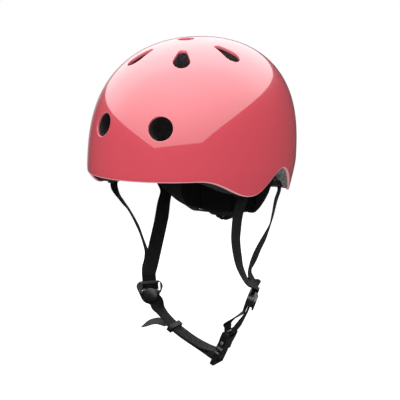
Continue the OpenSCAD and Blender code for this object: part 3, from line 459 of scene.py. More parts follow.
def drop_outline(angle, middle, grow):
    """A drop vent's outline in plan: two circles and their tangents."""
    a, b = DROP_THIN + grow, DROP_WIDE + grow
    reach = DROP_FAR - DROP_WIDE - DROP_NEAR - DROP_THIN
    s = math.asin((b - a) / reach)
    wide = np.linspace(-(math.pi / 2 + s), math.pi / 2 + s, 34)
    thin = np.linspace(math.pi / 2 + s, 3 * math.pi / 2 - s, 18)
    pts = [(reach + b * math.cos(t), b * math.sin(t)) for t in wide]
    side = np.linspace(0, 1, 8)[1:-1]
    p, q = np.array(pts[-1]), np.array([a * math.cos(thin[0]), a * math.sin(thin[0])])
    pts += [tuple(p + (q - p) * k) for k in side]
    pts += [(a * math.cos(t), a * math.sin(t)) for t in thin]
    p, q = np.array(pts[-1]), np.array(pts[0])
    pts += [tuple(p + (q - p) * k) for k in side]
    pts = np.array(pts) + [DROP_NEAR + DROP_THIN, 0]
    turn = math.radians(angle - 90)
    c, n = math.cos(turn), math.sin(turn)
    return np.stack([pts[:, 0] * c - pts[:, 1] * n, pts[:, 0] * n + pts[:, 1] * c + middle], -1)


ROUND_VENTS = [math.radians(a) for a in (20.4, -20.4, 159.6, -159.6)]
SHELL_OUT = Dome(0)


def vent_way(phi):
    n = SHELL_OUT.normal(SHELL_OUT.at(phi, ROUND_VENT_Z))
    return unit([n[0] * 0.5, n[1], n[2]])


def holes(outer, inner, grow):
    """Pairs of loops where each vent meets the outer and the inner surface, and its middle."""
    found = []
    for side in (-1, 1):
        for angle, middle in ((30, -13.5), (90, -13.5), (150, 10.0)):
            xy = drop_outline(side * angle, middle, grow)
            found.append((outer.above(*xy.T), inner.above(*xy.T)))
    a = np.linspace(0, 2 * math.pi, 60, endpoint=False)
    x, y = (CROWN_VENT_R + grow) * np.cos(a), (CROWN_VENT_R + grow) * np.sin(a) + CROWN_VENT_Y
    found.append((outer.above(x, y), inner.above(x, y)))
    for phi in ROUND_VENTS:
        way, c = vent_way(phi), SHELL_OUT.at(phi, ROUND_VENT_Z)
        e1 = unit(np.cross(way, [0, 0, 1]))
        e2 = np.cross(way, e1)
        a = np.linspace(0, 2 * math.pi, 84, endpoint=False)
        ring = c + ROUND_VENT_R * (np.cos(a)[:, None] * e1 + np.sin(a)[:, None] * e2)
        found.append((outer.along(ring, way), inner.along(ring - 10 * way, way)))
    return found


def inside(points, loop):
    """Which 2-D points lie inside a closed loop."""
    x, y = points[:, 0][:, None], points[:, 1][:, None]
    x0, y0 = loop[:, 0], loop[:, 1]
    x1, y1 = np.roll(x0, -1), np.roll(y0, -1)
    cross = (y0 > y) != (y1 > y)
    with np.errstate(divide="ignore", invalid="ignore"):
        at = x0 + (y - y0) * (x1 - x0) / (y1 - y0)
    return (cross & (x < at)).sum(1) % 2 == 1


def skin(dome, rim, cuts, spacing):
    """Points and triangles of a dome, bounded by the rim and open at the cuts. The loops come first."""
    loops = [rim] + cuts
    charts = [dome.flat(l) for l in loops]
    reach = max(np.hypot(*c.T).max() for c in charts)
    grid = [np.zeros((1, 2))]
    for s in np.arange(spacing, reach, spacing):
        n = max(8, int(2 * math.pi * s / spacing))
        half_step = (0.5 * 2 * math.pi / n) * (round(s / spacing) % 2)
        a = np.linspace(0, 2 * math.pi, n, endpoint=False) + half_step
        grid.append(np.stack([s * np.cos(a), s * np.sin(a)], -1))
    grid = np.concatenate(grid)
    keep = inside(grid, charts[0])
    for c in charts[1:]:
        keep &= ~inside(grid, c)
    grid = grid[keep]
    edge = np.concatenate(charts)
    near = np.array([np.min(np.hypot(*(edge - g).T)) for g in grid])
    grid = grid[near > 0.62 * spacing]
    verts = np.concatenate([edge, grid])
    edges, at = [], 0
    for c in charts:
        n = len(c)
        edges += [(at + i, at + (i + 1) % n) for i in range(n)]
        at += n
    out, _, tris, _, _, _ = delaunay_2d_cdt([Vector(v) for v in verts], edges, [], 0, 1e-7)
    out = np.array([tuple(v) for v in out])
    assert len(out) == len(verts)
    tris = np.array([t for t in tris])
    middle = out[tris].mean(1)
    good = inside(middle, charts[0])
    for c in charts[1:]:
        good &= ~inside(middle, c)
    points = np.concatenate(loops + [dome.unflat(grid)])
    return points, tris[good], [len(l) for l in loops]


def fillet(start, corner, end, steps):
    """Rings of a rounded edge from start to end round a corner."""
    t = np.linspace(0, 1, steps + 1)
    return [(1 - a) ** 2 * start + 2 * a * (1 - a) * corner + a * a * end for a in t]


def layer(
    name, outer, inner, lift, grow, radii, spacing, material, hides, slot, rim_look, vent_look,
    rim_from=-200,
):
    """A closed skin between two domes, with rounded rims and vents."""
    outer_rim = rim_loop(outer, lift)
    inner_rim = rim_loop(inner, lift)
    pairs = [(outer_rim, inner_rim, radii[0], radii[1])]
    pairs += [(p, q, radii[2], radii[3]) for p, q in holes(outer, inner, grow)]
    starts, ends, walls = [], [], []
    for i, (p, q, r_out, r_in) in enumerate(pairs):
        down = unit(q - p)
        rows = []
        for dome, pts, r, way in ((outer, p, r_out, down), (inner, q, r_in, -down)):
            n = dome.normal(pts)
            along = unit(np.roll(pts, -1, 0) - np.roll(pts, 1, 0))
            away = unit(np.cross(n, along))
            # a vent's loop faces out of its hole, the rim's up the dome
            sign = 1 if (away * (pts - pts.mean(0))).sum(-1).mean() > 0 else -1
            if i == 0:
                sign = 1 if away[:, 2].mean() > 0 else -1
            a = dome.onto(pts + sign * away * r)
            rows.append(fillet(a, pts, pts + way * r, 3))
        starts.append(rows[0][0])
        ends.append(rows[1][0])
        walls.append(rows[0][1:] + rows[1][:0:-1])
    P, T, counts = skin(outer, starts[0], starts[1:], spacing)
    Q, U, _ = skin(inner, ends[0], ends[1:], spacing)
    points = [P, Q]
    # triangles of the chart turn the same way on both skins; the inner ones are flipped
    n = np.cross(P[T[:, 1]] - P[T[:, 0]], P[T[:, 2]] - P[T[:, 0]])
    if (n * outer.normal(P[T[:, 0]])).sum() < 0:
        T = T[:, ::-1]
    n = np.cross(Q[U[:, 1]] - Q[U[:, 0]], Q[U[:, 2]] - Q[U[:, 0]])
    if (n * inner.normal(Q[U[:, 0]])).sum() > 0:
        U = U[:, ::-1]
    faces = [tuple(t) for t in T] + [tuple(t + len(P)) for t in U]
    total = len(P) + len(Q)
    at = 0
    for loop, rings in enumerate(walls):
        n = counts[loop]
        first = at + np.arange(n)
        last = len(P) + at + np.arange(n)
        rows = [first]
        for ring in rings:
            points.append(ring)
            rows.append(total + np.arange(n))
            total += n
        rows.append(last)
        quads = []
        for a, b in zip(rows, rows[1:]):
            quads += [(a[i], a[(i + 1) % n], b[(i + 1) % n], b[i]) for i in range(n)]
        # the wall turns the same way as the skin's triangle on its first edge
        pair = (first[0], first[1])
        touching = T[(T == first[0]).any(1)]
        same = any(pair in ((t[0], t[1]), (t[1], t[2]), (t[2], t[0])) for t in touching)
        faces += [q[::-1] for q in quads] if same else quads
        if loop == 0:
            vents_from = len(faces)
        at += n
    points = np.concatenate(points)
    ob = solid(name, points, faces, material, hides=hides)
    mesh = ob.data
    mesh.materials.append(rim_look)
    mesh.materials.append(vent_look)
    # Rim faces from rim_from back take the rim look and all other walls the vent look. The rim looks
    # carry painted light: a painted highlight on the shell's rim, which is partly a paler cut edge, and
    # a lighter painted-light grey on the liner's rear rim.
    for i in range(len(T) + len(U), len(mesh.polygons)):
        rim = i < vents_from and mesh.polygons[i].center.y > rim_from * MM
        mesh.polygons[i].material_index = 1 if rim else 2
    normals = np.array([v.vector[:] for v in mesh.vertex_normals])
    normals[: len(P)] = outer.normal(P)
    inner_n = -inner.normal(Q)
    normals[len(P) : len(P) + len(Q)] = inner_n
    mesh.normals_split_custom_set_from_vertices([tuple(v) for v in normals])
    return ob


SHELL_IN = Dome(WALL)
FOAM_OUT, FOAM_IN = Dome(WALL + 0.3), Dome(CAVITY, straight=True)
layer(
    "shell_skin", SHELL_OUT, SHELL_IN, 0, 0, (0.9, 0.7, 0.7, 0.5), 3.2,
    SHELL, ["outer_shell"], "shell", RIM_EDGE_AND_HIGHLIGHT, VENT_WALL_HIGHLIGHT,
)
# Liner: its rim takes the lighter grey only from y = 0 back. This is painted light on the rear rim, and
# the front rim stays dark.
layer(
    "foam_liner", FOAM_OUT, FOAM_IN, 1.0, 0.8, (0.8, 2.5, 0.6, 1.5), 4.2,
    FOAM, ["eps_liner"], "foam", FOAM_RIM_LIT, FOAM, 0,
)

# ---------------------------------------------------------------- webbing


def hang_axes(f):
    psi, tilt, lean = (math.radians(a) for a in f[1:])
    x = np.array([math.sin(psi), math.cos(psi), 0])
    y = np.array([-math.cos(psi) * math.cos(tilt), math.sin(psi) * math.cos(tilt), math.sin(tilt)])
    z = np.array([math.cos(psi) * math.sin(tilt), -math.sin(psi) * math.sin(tilt), math.cos(tilt)])
    wide = x * math.cos(lean) + z * math.sin(lean)
    up = z * math.cos(lean) - x * math.sin(lean)
    return wide, y, up


def hang(f, y, z, x=0.0):
    wide, deep, up = hang_axes(f)
    p = np.array(f[0]) + wide * x + deep * y + up * z
    return [*p, math.degrees(math.atan2(wide[0], wide[1])), math.degrees(math.asin(wide[2]))]


def turned(key, by):
    """A strap key with its width turned about the vertical."""
    return [*key[:3], key[3] + by, key[4]]


DIVIDER_LEFT = [(66, 8, -144.5), -24, 20, 18]
DIVIDER_RIGHT = [(-61, 6, -151.6), 50, -8, 2]
BUCKLE = [(28.4, 12, -203.2), -5, 25.5, 0]
FRONT, REAR, CHIN, GAP, HALF = 0.1, 1.7, 0.8, 0.25, 14.0
WIDE, THICK = 15.0, 1.2


def width_way(k):
    t, l = math.radians(k[3]), math.radians(k[4])
    return np.array([math.sin(t) * math.cos(l), math.cos(t) * math.cos(l), math.sin(l)])


def smooth(keys, n):
    p = np.array(keys, float)
    m, out = len(p), []
    for i in range(m - 1):
        a, b, c, d = p[max(i - 1, 0)], p[i], p[i + 1], p[min(i + 2, m - 1)]
        for j in range(n + 1 if i == m - 2 else n):
            t = j / n
            square, cube = 2 * a - 5 * b + 4 * c - d, 3 * b - a - 3 * c + d
            out.append(0.5 * (2 * b + (c - a) * t + square * t**2 + cube * t**3))
    return np.array(out)


def ribbon_frame(keys, n):
    k = smooth(keys, n)
    p = k[:, :3]
    nxt, prv = np.vstack([p[1:], p[-1:]]), np.vstack([p[:1], p[:-1]])
    t = unit(nxt - prv)
    w = np.array([width_way(q) for q in k])
    w = unit(w - t * (w * t).sum(-1, keepdims=True))
    return p, t, w, np.cross(t, w)


def profile(width, thick):
    """Cross-section of webbing: flat, a little fuller at its woven edges."""
    half, r = width / 2, thick / 2
    across = np.linspace(-half + r, half - r, 13)
    top = [(x, r - 0.05 - (0.05 if abs(x) < half - 1.6 else 0)) for x in across]
    turn = np.linspace(math.pi / 3, -math.pi / 3, 5)
    right = [(half - r + r * math.cos(a), r * math.sin(a)) for a in turn]
    pts = top + right
    pts += [(-x, -y) for x, y in pts]
    return np.array(pts)


def ribbon(name, keys, n, hides=(), body="helmet"):
    p, _, w, d = ribbon_frame(keys, n)
    prof = profile(WIDE, THICK)
    m, c = len(p), len(prof)
    length = np.concatenate([[0], np.cumsum(np.linalg.norm(np.diff(p, axis=0), axis=1))])
    wide, deep = prof[:, 0][None, :, None] * w[:, None], prof[:, 1][None, :, None] * d[:, None]
    pts = (p[:, None] + wide + deep).reshape(-1, 3)
    uv = np.stack(np.broadcast_arrays(prof[None, :, 0], length[:, None]), -1).reshape(-1, 2)
    faces = tube_faces(m, c)
    ob = solid(name, pts, faces, WEB, body=body, uv=uv, hides=hides)
    ob.data.polygons[-1].use_smooth = ob.data.polygons[-2].use_smooth = False
    return ob


def seat(x, y):
    return np.array([x, y, float(rim_z(y)) + 1.0])


FRONT_SEAT, REAR_SEAT = seat(79.0, -31.0), seat(74.0, 51.0)
# the rear strap leaves its seat leaning by REAR_LEAN towards REAR_AZ
REAR_AZ, REAR_LEAN = math.radians(108), math.radians(15)
REAR_WAY = np.array([
    math.cos(REAR_AZ) * math.sin(REAR_LEAN), math.sin(REAR_AZ) * math.sin(REAR_LEAN),
    math.cos(REAR_LEAN),
])
UP = np.array([0.0, 0.0, 1.0])


def strap_keys(place, way, side, turn, bows, divider, layer_y, fan):
    def key(up):
        q = place + way * up
        return [side * q[0], q[1], q[2], side * turn, 0]

    a, b = key(-6.5), hang(divider, layer_y, HALF + 1)
    mids = []
    for share, bow_x, bow_y, turn_at, lean_at in bows:
        x, y, z = (a[i] + (b[i] - a[i]) * share for i in range(3))
        mids.append([x + bow_x, y + bow_y, z, turn_at, lean_at])
    tail = [hang(divider, fan[1], HALF + 6, fan[0]), b]
    tail += [hang(divider, layer_y, HALF - 2), hang(divider, layer_y, GAP)]
    return [key(6.5), key(1), a] + mids + tail


STRAPS = {
    "strap_front_left": (FRONT_SEAT, UP, 1, 10, [
        [0.14, -0.9, -9.8, 8, -9], [0.29, 0, -18.6, 7, -3], [0.42, 0.6, -23.7, 3, 12],
        [0.61, 0.8, -24.4, -4, 22], [0.76, 1.0, -21.2, -18, 6], [0.9, 0.4, -11.6, -24, 4]],
        DIVIDER_LEFT, FRONT, (-1.6, -1.6)),
    "strap_rear_left": (REAR_SEAT, REAR_WAY, 1, -18, [
        [0.1, 0.2, -1.8, -22, -22], [0.23, 0.7, -1.4, -26, -22], [0.36, 1.1, -2.3, -32, -28],
        [0.46, 1.4, -6.8, -29, -42], [0.55, 1.5, -13, -23, -42], [0.64, 1.3, -16.9, -14, -33],
        [0.74, -0.4, -16.6, -15, -16], [0.84, -2.4, -12, -20, 8]], DIVIDER_LEFT, REAR, (-0.6, 3.4)),
    "strap_front_right": (FRONT_SEAT, UP, -1, 10, [
        [0.13, -1, 3.6, -44, 25], [0.21, -1.8, 8.7, -53, 26], [0.31, -2.9, 13.7, -49, 25],
        [0.43, -4.1, 17.8, -43, 24], [0.51, -5, 20.1, -38, 19], [0.63, -5.8, 20.5, -35, 13],
        [0.75, -6.2, 19.6, -24, 3], [0.86, -4.4, 13.5, 4, -10]], DIVIDER_RIGHT, REAR, (0, 2.8)),
    "strap_rear_right": (REAR_SEAT, REAR_WAY, -1, -18, [
        [0.12, 3, 7, 22, 0], [0.26, 1, 9, 31, 0], [0.42, 3, 5, 45, 0], [0.66, 3.2, 0, 52, 0],
        [0.84, 1.6, -1, 52, 0]], DIVIDER_RIGHT, FRONT, (0, -0.8)),
}
for name, args in STRAPS.items():
    ribbon(name.replace("strap", "web"), strap_keys(*args), 9, [name])

BAR_UP = 24 - 1.6
BUCKLE_LOOP = [
    hang(DIVIDER_LEFT, FRONT, -GAP),
    hang(DIVIDER_LEFT, FRONT, 2 - HALF),
    turned(hang(DIVIDER_LEFT, FRONT + 0.3, -HALF - 3), 12),
    turned(hang(BUCKLE, -4.2, BAR_UP + 8), 8),
    hang(BUCKLE, -3.2, BAR_UP + 2),
    hang(BUCKLE, -2.4, BAR_UP - 2.4),
    hang(BUCKLE, 0, BAR_UP - 3.3),
    hang(BUCKLE, 2.4, BAR_UP - 2.4),
    hang(BUCKLE, 4.8, BAR_UP + 2),
    turned(hang(BUCKLE, 6.3, BAR_UP + 7), 8),
    turned(hang(DIVIDER_LEFT, REAR + 2.4, -HALF - 5), 12),
    hang(DIVIDER_LEFT, REAR + 0.1, -HALF - 0.5),
    hang(DIVIDER_LEFT, REAR, 4 - HALF),
    hang(DIVIDER_LEFT, REAR, -GAP),
]
ribbon("web_buckle_loop", BUCKLE_LOOP, 8, ["buckle_strap"])

CHIN_RUN = [
    hang(DIVIDER_RIGHT, 0.5, -7.4, 2.4),
    hang(DIVIDER_RIGHT, 0.2, -11.2, 6.2)[:3] + [50, 33],
    [-53.4, 9.4, -166.8, 36, 22],
    [-50.4, 9.8, -171.4, 12, 8],
    [-42.6, 9.8, -178.4, 4, 2],
    [-31, 9.6, -186.7, 3, 5],
    [-20.1, 10, -193, 0, 7],
    [-7.3, 11, -199.5, -1, 7],
    [6.3, 11.6, -204.2, 1, 6],
]
PITCH = THICK + 0.6


def run_normal(i):
    t = unit(np.array(CHIN_RUN[i + 1][:3]) - np.array(CHIN_RUN[i - 1][:3]))
    w = width_way(CHIN_RUN[i])
    w = unit(w - t * (w @ t))
    return unit(np.cross(t, w))


def back_layer(i, ahead=0.0):
    p = np.array(CHIN_RUN[i][:3]) - run_normal(i) * PITCH
    if ahead:
        p = p + (np.array(CHIN_RUN[i - 1][:3]) - np.array(CHIN_RUN[i][:3])) * ahead
    return [*p, *CHIN_RUN[i][3:]]


TAIL = [
    [-41.5, 11.6, -186.6, 4, 4], [-49.4, 11.9, -185.4, 8, 7], [-58.4, 12.5, -185.9, 0, 17],
    [-67.1, 12.6, -188.9, -8, 19], [-73.5, 12.4, -191.6, -7, 12],
]
ROUND_THE_BAR = (
    (5.5, -6.2), (0, -6.8), (-2.5, -8.2), (-3, -10.2), (-2.5, -12.2), (0, -13.7), (5.5, -14),
)
CHIN_KEYS = (
    [hang(DIVIDER_RIGHT, CHIN, z) for z in (-1, -2.3, -3.6)]
    + CHIN_RUN
    + [hang(BUCKLE, y, z) for y, z in ROUND_THE_BAR]
    + [[5.5, 12.2, -207.6, 1, 6]]
    + [back_layer(i) for i in (7, 6, 5)]
    + [back_layer(5, 0.35)]
    + TAIL
)
chin = ribbon("web_chin", CHIN_KEYS, 8, ["chin_strap"], body=None)
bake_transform(chin)

# ---------------------------------------------------------------- padding


def pad(name, at, nu, nv, hides, seams=(), bulge=1.0):
    """A sewn foam pad: a flat welted border round a crowned face, and lines sewn across it."""
    us, vs = np.linspace(-1, 1, nu + 1), np.linspace(-1, 1, nv + 1)
    U, V = np.meshgrid(us, vs)
    back = at(U, V, np.zeros_like(U))
    t = bulge_height(U, V, seams) * bulge
    face = at(U, V, t)
    w = nu + 1
    count = w * (nv + 1)
    faces = []
    for j in range(nv):
        for i in range(nu):
            k = j * w + i
            faces.append((k, k + w, k + w + 1, k + 1))
            faces.append((count + k, count + k + 1, count + k + w + 1, count + k + w))
    ring = list(range(nu)) + [nu + j * w for j in range(nv)]
    ring += [nv * w + i for i in range(nu, 0, -1)] + [j * w for j in range(nv, 0, -1)]
    for a, b in zip(ring, ring[1:] + ring[:1]):
        faces.append((a, b, count + b, count + a))
    pts = np.concatenate([back.reshape(-1, 3), face.reshape(-1, 3)])
    ob = solid(name, pts, faces, PAD, hides=hides)
    face_outward(ob)
    return ob


PAD_T, PAD_EDGE = 6.0, 1.6


def bulge_height(U, V, seams):
    m = np.clip(1 - np.abs(U) ** 6, 0, 1) ** 0.5 * np.clip(1 - np.abs(V) ** 5, 0, 1) ** 0.5
    for s in seams:
        m = m * (1 - 0.6 * np.exp(-(((U - s) / 0.03) ** 2)))
    wave = 0.05 * np.sin(9 * U + 2 * V) * np.cos(7 * V - 3 * U)
    return PAD_EDGE + (PAD_T - PAD_EDGE) * np.clip(m * (1 + wave), 0, 1)


def dome_pad(name, phi0, phi1, z0, z1, nu, nv, hides, seams=()):
    inset = CAVITY + 1.2

    def at(U, V, t):
        uu, vv = U * np.sqrt(1 - 0.3 * V * V), V * np.sqrt(1 - 0.3 * U * U)
        phi = np.radians((phi0 + phi1) / 2 + (phi1 - phi0) / 2 * uu)
        z = (z0 + z1) / 2 + (z1 - z0) / 2 * vv
        a, b = Dome(inset, True), Dome(inset + 6, True)
        p, q = a.at(phi, z), b.at(phi, z)
        return p + (q - p) * (t / 6)[..., None]

    return pad(name, at, nu, nv, hides, seams)


dome_pad("brow_cushion", -50, 50, -3, 22, 110, 26, ["brow_pad"], (-0.5, 0.0, 0.5))
dome_pad("rear_cushion", 152, 208, -14, 16, 66, 30, ["rear_pad"], (0.0,))
dome_pad("side_cushion_left", 62, 100, 10, 40, 42, 30, ["side_pad_left"])
dome_pad("side_cushion_right", -100, -62, 10, 40, 42, 30, ["side_pad_right"])


def crown_at(U, V, t):
    # the square grid is bent into a disc
    x, y = U * np.sqrt(1 - V * V / 2) * 25.6, 12 + V * np.sqrt(1 - U * U / 2) * 20.6

    def roof(inset):
        d = Dome(inset, True)
        q = np.hypot(x / d.w, y / d.l)
        return d.h * (1 - q**ROUND) ** (1 / SIDE)

    a, b = roof(CAVITY + 1.2), roof(CAVITY + 7.2)
    z = a + (b - a) * t / 6
    return np.stack([x, y + LEAN * z, z], -1)


pad("crown_cushion", crown_at, 40, 40, ["crown_pad"])


def nape_at(U, V, t):
    uu, vv = U * np.sqrt(1 - 0.25 * V * V), V * np.sqrt(1 - 0.25 * U * U)
    y = 54 - 1.6 - 1.4 - 0.3 - 3.4 * uu * uu - t * 5 / 6
    return np.stack([-46 * uu, y, -48 + 17 * vv + 3 * uu * uu], -1)


pad("nape_cushion", nape_at, 84, 34, ["occipital_pad"], (-0.45, 0.45))

# ---------------------------------------------------------------- fit bands

NECK = 16 + 4 * math.radians(150) + 1.5
CLIP, LAST = np.array([77.0, 32.0]), np.array([69.5, 35.8])
CLIP_WAY = unit(CLIP - LAST)
BAND_TOP = -18.4 - 2.2
# The left rack runs above the pinion and the right one below it, and each band's neck leaves room for
# the other band's rack: (low, high) at the first stations
NECKS = {
    1: ((-57, -52.8), (-61.2, -50), (-62.4, -42.5)),
    -1: ((-67.2, -63), (-67.4, -58.6), (-66.6, -57.4)),
}
STATIONS = [
    [44, 49.6, -61.5, -34],
    [51, 46.2, -57, -30],
    [57.5, 42.7, -51, -26],
    [63.5, 39.2, -44.5, -23.5],
    [LAST[0], LAST[1], -36.5, -22],
    [*(CLIP - 4 * CLIP_WAY), -29.5, BAND_TOP],
    [*(CLIP + 2 * CLIP_WAY), -27, BAND_TOP],
]


def fit_band(name, side, hides):
    """A band with rounded edges and a raised rib along each, from the rack to the clip."""
    neck = [[NECK + x, y, *z] for x, y, z in zip((0.35, 3, 8), (54, 53.4, 52.2), NECKS[side])]
    k = smooth(neck + STATIONS, 8)
    p = k[:, :2]
    nxt, prv = np.vstack([p[1:], p[-1:]]), np.vstack([p[:1], p[:-1]])
    t = unit(nxt - prv)
    out = np.stack([-t[:, 1], t[:, 0]], -1)
    shares = [0, 0.02, 0.06, 0.1, 0.14, 0.2, 0.35, 0.5, 0.65, 0.8, 0.86, 0.9, 0.94, 0.98, 1]
    half = [0.25, 0.62, 0.8, 0.8, 0.72, 0.5, 0.5, 0.5, 0.5, 0.5, 0.72, 0.8, 0.8, 0.62, 0.25]
    rows = []
    for i in range(len(k)):
        lo, hi = k[i, 2], k[i, 3]
        left = [(*(p[i] + out[i] * h), lo + (hi - lo) * s) for s, h in zip(shares, half)]
        back_again = zip(shares[::-1], half[::-1])
        right = [(*(p[i] - out[i] * h), lo + (hi - lo) * s) for s, h in back_again]
        rows.append(left + right)
    pts = np.array(rows)
    m, c = pts.shape[:2]
    pts = pts.reshape(-1, 3) * [side, 1, 1]
    ob = solid(name, pts, tube_faces(m, c), BAND, body=None, hides=hides)
    face_outward(ob)
    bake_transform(ob)
    return ob


fit_band("cradle_band_left", 1, ["fit_band_left"])
fit_band("cradle_band_right", -1, ["fit_band_right"])

# ---------------------------------------------------------------- moulded hardware


def moulding(node, radius, material, body, segments=2, angle=28):
    """The CAD node's own shape with its edges rounded, as they leave a mould."""
    bm = bmesh.new()
    bm.from_mesh(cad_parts[node].data)
    bmesh.ops.remove_doubles(bm, verts=bm.verts, dist=2e-6)
    bmesh.ops.dissolve_limit(bm, angle_limit=math.radians(1.5), verts=bm.verts, edges=bm.edges)
    mesh = bpy.data.meshes.new(node + "_moulding")
    bm.to_mesh(mesh)
    bm.free()
    mesh.materials.append(material)
    mesh.polygons.foreach_set("use_smooth", [True] * len(mesh.polygons))
    ob = link(node + "_moulding", mesh)
    bevel = ob.modifiers.new("edges", "BEVEL")
    bevel.width = radius * MM
    bevel.segments = segments
    bevel.limit_method = "ANGLE"
    bevel.angle_limit = math.radians(angle)
    bevel.harden_normals = True
    bpy.context.view_layer.update()
    dg = bpy.context.evaluated_depsgraph_get()
    done = bpy.data.meshes.new_from_object(ob.evaluated_get(dg))
    ob.modifiers.clear()
    ob.data = done
    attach(ob, body)
    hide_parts(node)
    return ob


for node, radius, look, body in (
    ("divider_body_left", 0.35, BLACK, "helmet"),
    ("divider_body_right", 0.35, BLACK, "helmet"),
    ("divider_cam_left", 0.3, GLOSS, "cam_left"),
    ("divider_cam_right", 0.3, GLOSS, "cam_right"),
    ("buckle_female", 0.35, GLOSS, "helmet"),
    ("buckle_male", 0.35, GLOSS, "plug"),
    ("buckle_prong_front", 0.25, GLOSS, "prong_front"),
    ("buckle_prong_rear", 0.25, GLOSS, "prong_rear"),
    ("strap_keeper", 0.4, RUBBER, "keeper"),
    ("dial_knob", 0.35, BLACK, "dial"),
    ("dial_housing", 0.4, BLACK, "helmet"),
    ("dial_cover", 0.3, BLACK, "helmet"),
    ("fit_clip_left", 0.4, BLACK, "helmet"),
    ("fit_clip_right", 0.4, BLACK, "helmet"),
):
    moulding(node, radius, look, body)

for node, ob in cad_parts.items():
    if node.startswith(("dial_screw", "divider_pin", "dial_detent")):
        look = STEEL
    elif node == "pad_dots":
        look = HOOKS
    else:
        look = BLACK
    for s in ob.material_slots:
        s.material = look

# ---------------------------------------------------------------- studio


def emission_stage(name, pts, faces):
    mesh = bpy.data.meshes.new(name)
    mesh.from_pydata(pts, [], faces)
    ob = link(name, mesh)
    return ob


FLOOR_R, FLOOR_SIDES = 0.95, 96


def make_floor(z):
    angles = np.linspace(0, 2 * math.pi, FLOOR_SIDES + 1)[:-1]
    ring = [(FLOOR_R * math.cos(a), FLOOR_R * math.sin(a), z) for a in angles]
    ob = emission_stage("floor", ring, [tuple(range(FLOOR_SIDES))])
    ob.visible_glossy = False
    mat = bpy.data.materials.new("floor_white")
    mat.use_nodes = True
    n, l = mat.node_tree.nodes, mat.node_tree.links
    n.clear()
    out = n.new("ShaderNodeOutputMaterial")
    diffuse = n.new("ShaderNodeBsdfDiffuse")
    diffuse.inputs["Color"].default_value = (0.75, 0.75, 0.75, 1)
    glow = n.new("ShaderNodeEmission")
    path = n.new("ShaderNodeLightPath")
    seen = n.new("ShaderNodeMath")
    seen.operation = "MAXIMUM"
    l.new(path.outputs["Is Camera Ray"], seen.inputs[0])
    l.new(path.outputs["Is Transmission Ray"], seen.inputs[1])
    scale = n.new("ShaderNodeMath")
    scale.operation = "MULTIPLY"
    scale.inputs[1].default_value = 0.55
    l.new(seen.outputs[0], scale.inputs[0])
    l.new(scale.outputs[0], glow.inputs["Strength"])
    add = n.new("ShaderNodeAddShader")
    l.new(diffuse.outputs[0], add.inputs[0])
    l.new(glow.outputs[0], add.inputs[1])
    l.new(add.outputs[0], out.inputs[0])
    ob.data.materials.append(mat)
    return ob


# Edges of the white canopy over the set: compass angle of each edge, and its slope above the horizon
CANOPY = ((-54.0, 0.384), (34.5, 0.198), (131.0, 0.44), (214.0, 0.13))


def make_world(canopy, behind, side, ambient):
    """White to the camera. Gloss shows the canopy, the bright backdrop behind the set and dim sides."""
    world = bpy.data.worlds.new("studio")
    bpy.context.scene.world = world
    world.use_nodes = True
    n, l = world.node_tree.nodes, world.node_tree.links
    n.clear()

    def put(socket, value):
        if isinstance(value, (int, float)):
            socket.default_value = value
        else:
            l.new(value, socket)

    def math_node(op, a, b=0.0, c=0.0):
        m = n.new("ShaderNodeMath")
        m.operation = op
        for socket, value in zip(m.inputs, (a, b, c)):
            put(socket, value)
        return m.outputs[0]

    def span(value, lo, hi, a, b, kind="LINEAR"):
        m = n.new("ShaderNodeMapRange")
        m.interpolation_type = kind
        keys = ("Value", "From Min", "From Max", "To Min", "To Max")
        for key, v in zip(keys, (value, lo, hi, a, b)):
            put(m.inputs[key], v)
        return m.outputs["Result"]

    def smooth_step(value, lo, hi, a=0.0, b=1.0):
        return span(value, lo, hi, a, b, "SMOOTHSTEP")

    def toward(vector):
        m = n.new("ShaderNodeVectorMath")
        m.operation = "DOT_PRODUCT"
        l.new(ray.outputs["Generated"], m.inputs[0])
        m.inputs[1].default_value = vector
        return m.outputs["Value"]

    ray, path = n.new("ShaderNodeTexCoord"), n.new("ShaderNodeLightPath")
    over = None
    for angle, slope in CANOPY:
        a = math.radians(angle)
        f = toward((-slope * math.sin(a), slope * math.cos(a), 1.0))
        over = f if over is None else math_node("MINIMUM", over, f)
    over = smooth_step(over, 0.0, 0.012)
    away = math.radians(213.5)
    strip = math.radians(222)
    outer_edge, inner_edge = math.cos(math.radians(18)), math.cos(math.radians(11))
    to_strip = toward((math.sin(strip), -math.cos(strip), 0.0))
    rear = smooth_step(to_strip, outer_edge, inner_edge, side, behind)
    # the canopy is brightest overhead, and dimmer towards the backdrop
    height = span(toward((0.0, 0.0, 1.0)), 0.0, 1.0, 0.36 * canopy, canopy)
    fade = span(toward((math.sin(away), -math.cos(away), 0.0)), 0.35, 1.0, 1.0, 0.45)
    canvas = math_node("MULTIPLY", height, fade)
    under = math_node("MULTIPLY", math_node("SUBTRACT", 1.0, over), rear)
    gloss = math_node("ADD", math_node("MULTIPLY", over, canvas), under)
    diffuse = smooth_step(toward((0.0, 0.0, 1.0)), -0.5, 0.8, *ambient)
    seen = math_node("MAXIMUM", path.outputs["Is Camera Ray"], path.outputs["Is Transmission Ray"])
    shiny = math_node("MULTIPLY", path.outputs["Is Glossy Ray"], math_node("SUBTRACT", 1.0, seen))
    rest = math_node("SUBTRACT", math_node("SUBTRACT", 1.0, seen), shiny)
    level = math_node("MULTIPLY_ADD", shiny, gloss, seen)
    level = math_node("MULTIPLY_ADD", rest, diffuse, level)
    sky = n.new("ShaderNodeBackground")
    sky.inputs["Color"].default_value = (1, 1, 1, 1)
    l.new(level, sky.inputs["Strength"])
    out = n.new("ShaderNodeOutputWorld")
    l.new(sky.outputs[0], out.inputs[0])


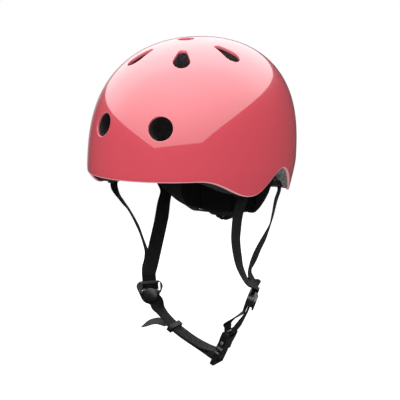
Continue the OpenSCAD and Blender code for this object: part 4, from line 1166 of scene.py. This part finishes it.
def softbox(name, centre, target, width, height, power, roll=0.0, glossy=True):
    lamp = bpy.data.lights.new(name, "AREA")
    lamp.shape = "RECTANGLE"
    lamp.size, lamp.size_y = width, height
    lamp.energy = power
    ob = bpy.data.objects.new(name, lamp)
    bpy.context.scene.collection.objects.link(ob)
    way = Vector(target) - Vector(centre)
    facing = way.to_track_quat("-Z", "Y").to_matrix().to_4x4()
    ob.matrix_world = Matrix.Translation(centre) @ facing @ Matrix.Rotation(roll, 4, "Z")
    ob.visible_glossy = glossy
    return ob


AZ, EL, ROLL, FOCAL = math.radians(33.546), math.radians(8.207), math.radians(-0.289), 1442.16
back = np.array([math.sin(AZ) * math.cos(EL), -math.cos(AZ) * math.cos(EL), math.sin(EL)])
right = np.array([math.cos(AZ), math.sin(AZ), 0.0])
up = np.cross(back, right)
screen_x = right * math.cos(ROLL) + up * math.sin(ROLL)
screen_y = up * math.cos(ROLL) - right * math.sin(ROLL)
# where the helmet's origin shows in the picture, so the camera aims a little below it
HALF_PICTURE, ORIGIN_AT = 200, (193.055, 157.673)
off_x, off_y = HALF_PICTURE - ORIGIN_AT[0], HALF_PICTURE - ORIGIN_AT[1]
aim = unit(-back * FOCAL + screen_x * off_x - screen_y * off_y)
cam_z = -aim
cam_x = unit(screen_x - cam_z * (screen_x @ cam_z))
cam_y = np.cross(cam_z, cam_x)
camera = bpy.data.objects.new("camera", bpy.data.cameras.new("camera"))
bpy.context.scene.collection.objects.link(camera)
camera.matrix_world = Matrix(
    [[cam_x[i], cam_y[i], cam_z[i], back[i] * 1.5] for i in range(3)] + [[0, 0, 0, 1]]
)
camera.data.sensor_width = 36
camera.data.lens = FOCAL / 400 * 36
camera.data.clip_start, camera.data.clip_end = 0.05, 100
bpy.context.scene.camera = camera

# The plug hangs this much lower when the buckle is open
FLOOR_DROP = 0.022
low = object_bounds()[0].z
make_floor(low - FLOOR_DROP)
make_world(canopy=6.6, behind=0.4, side=0.08, ambient=(0.4, 0.95))
softbox("key", (0.55, -1.35, 1.85), (0, 0, 0.0), 1.5, 1.5, 30, glossy=False)
bpy.context.scene.view_settings.view_transform = "Standard"
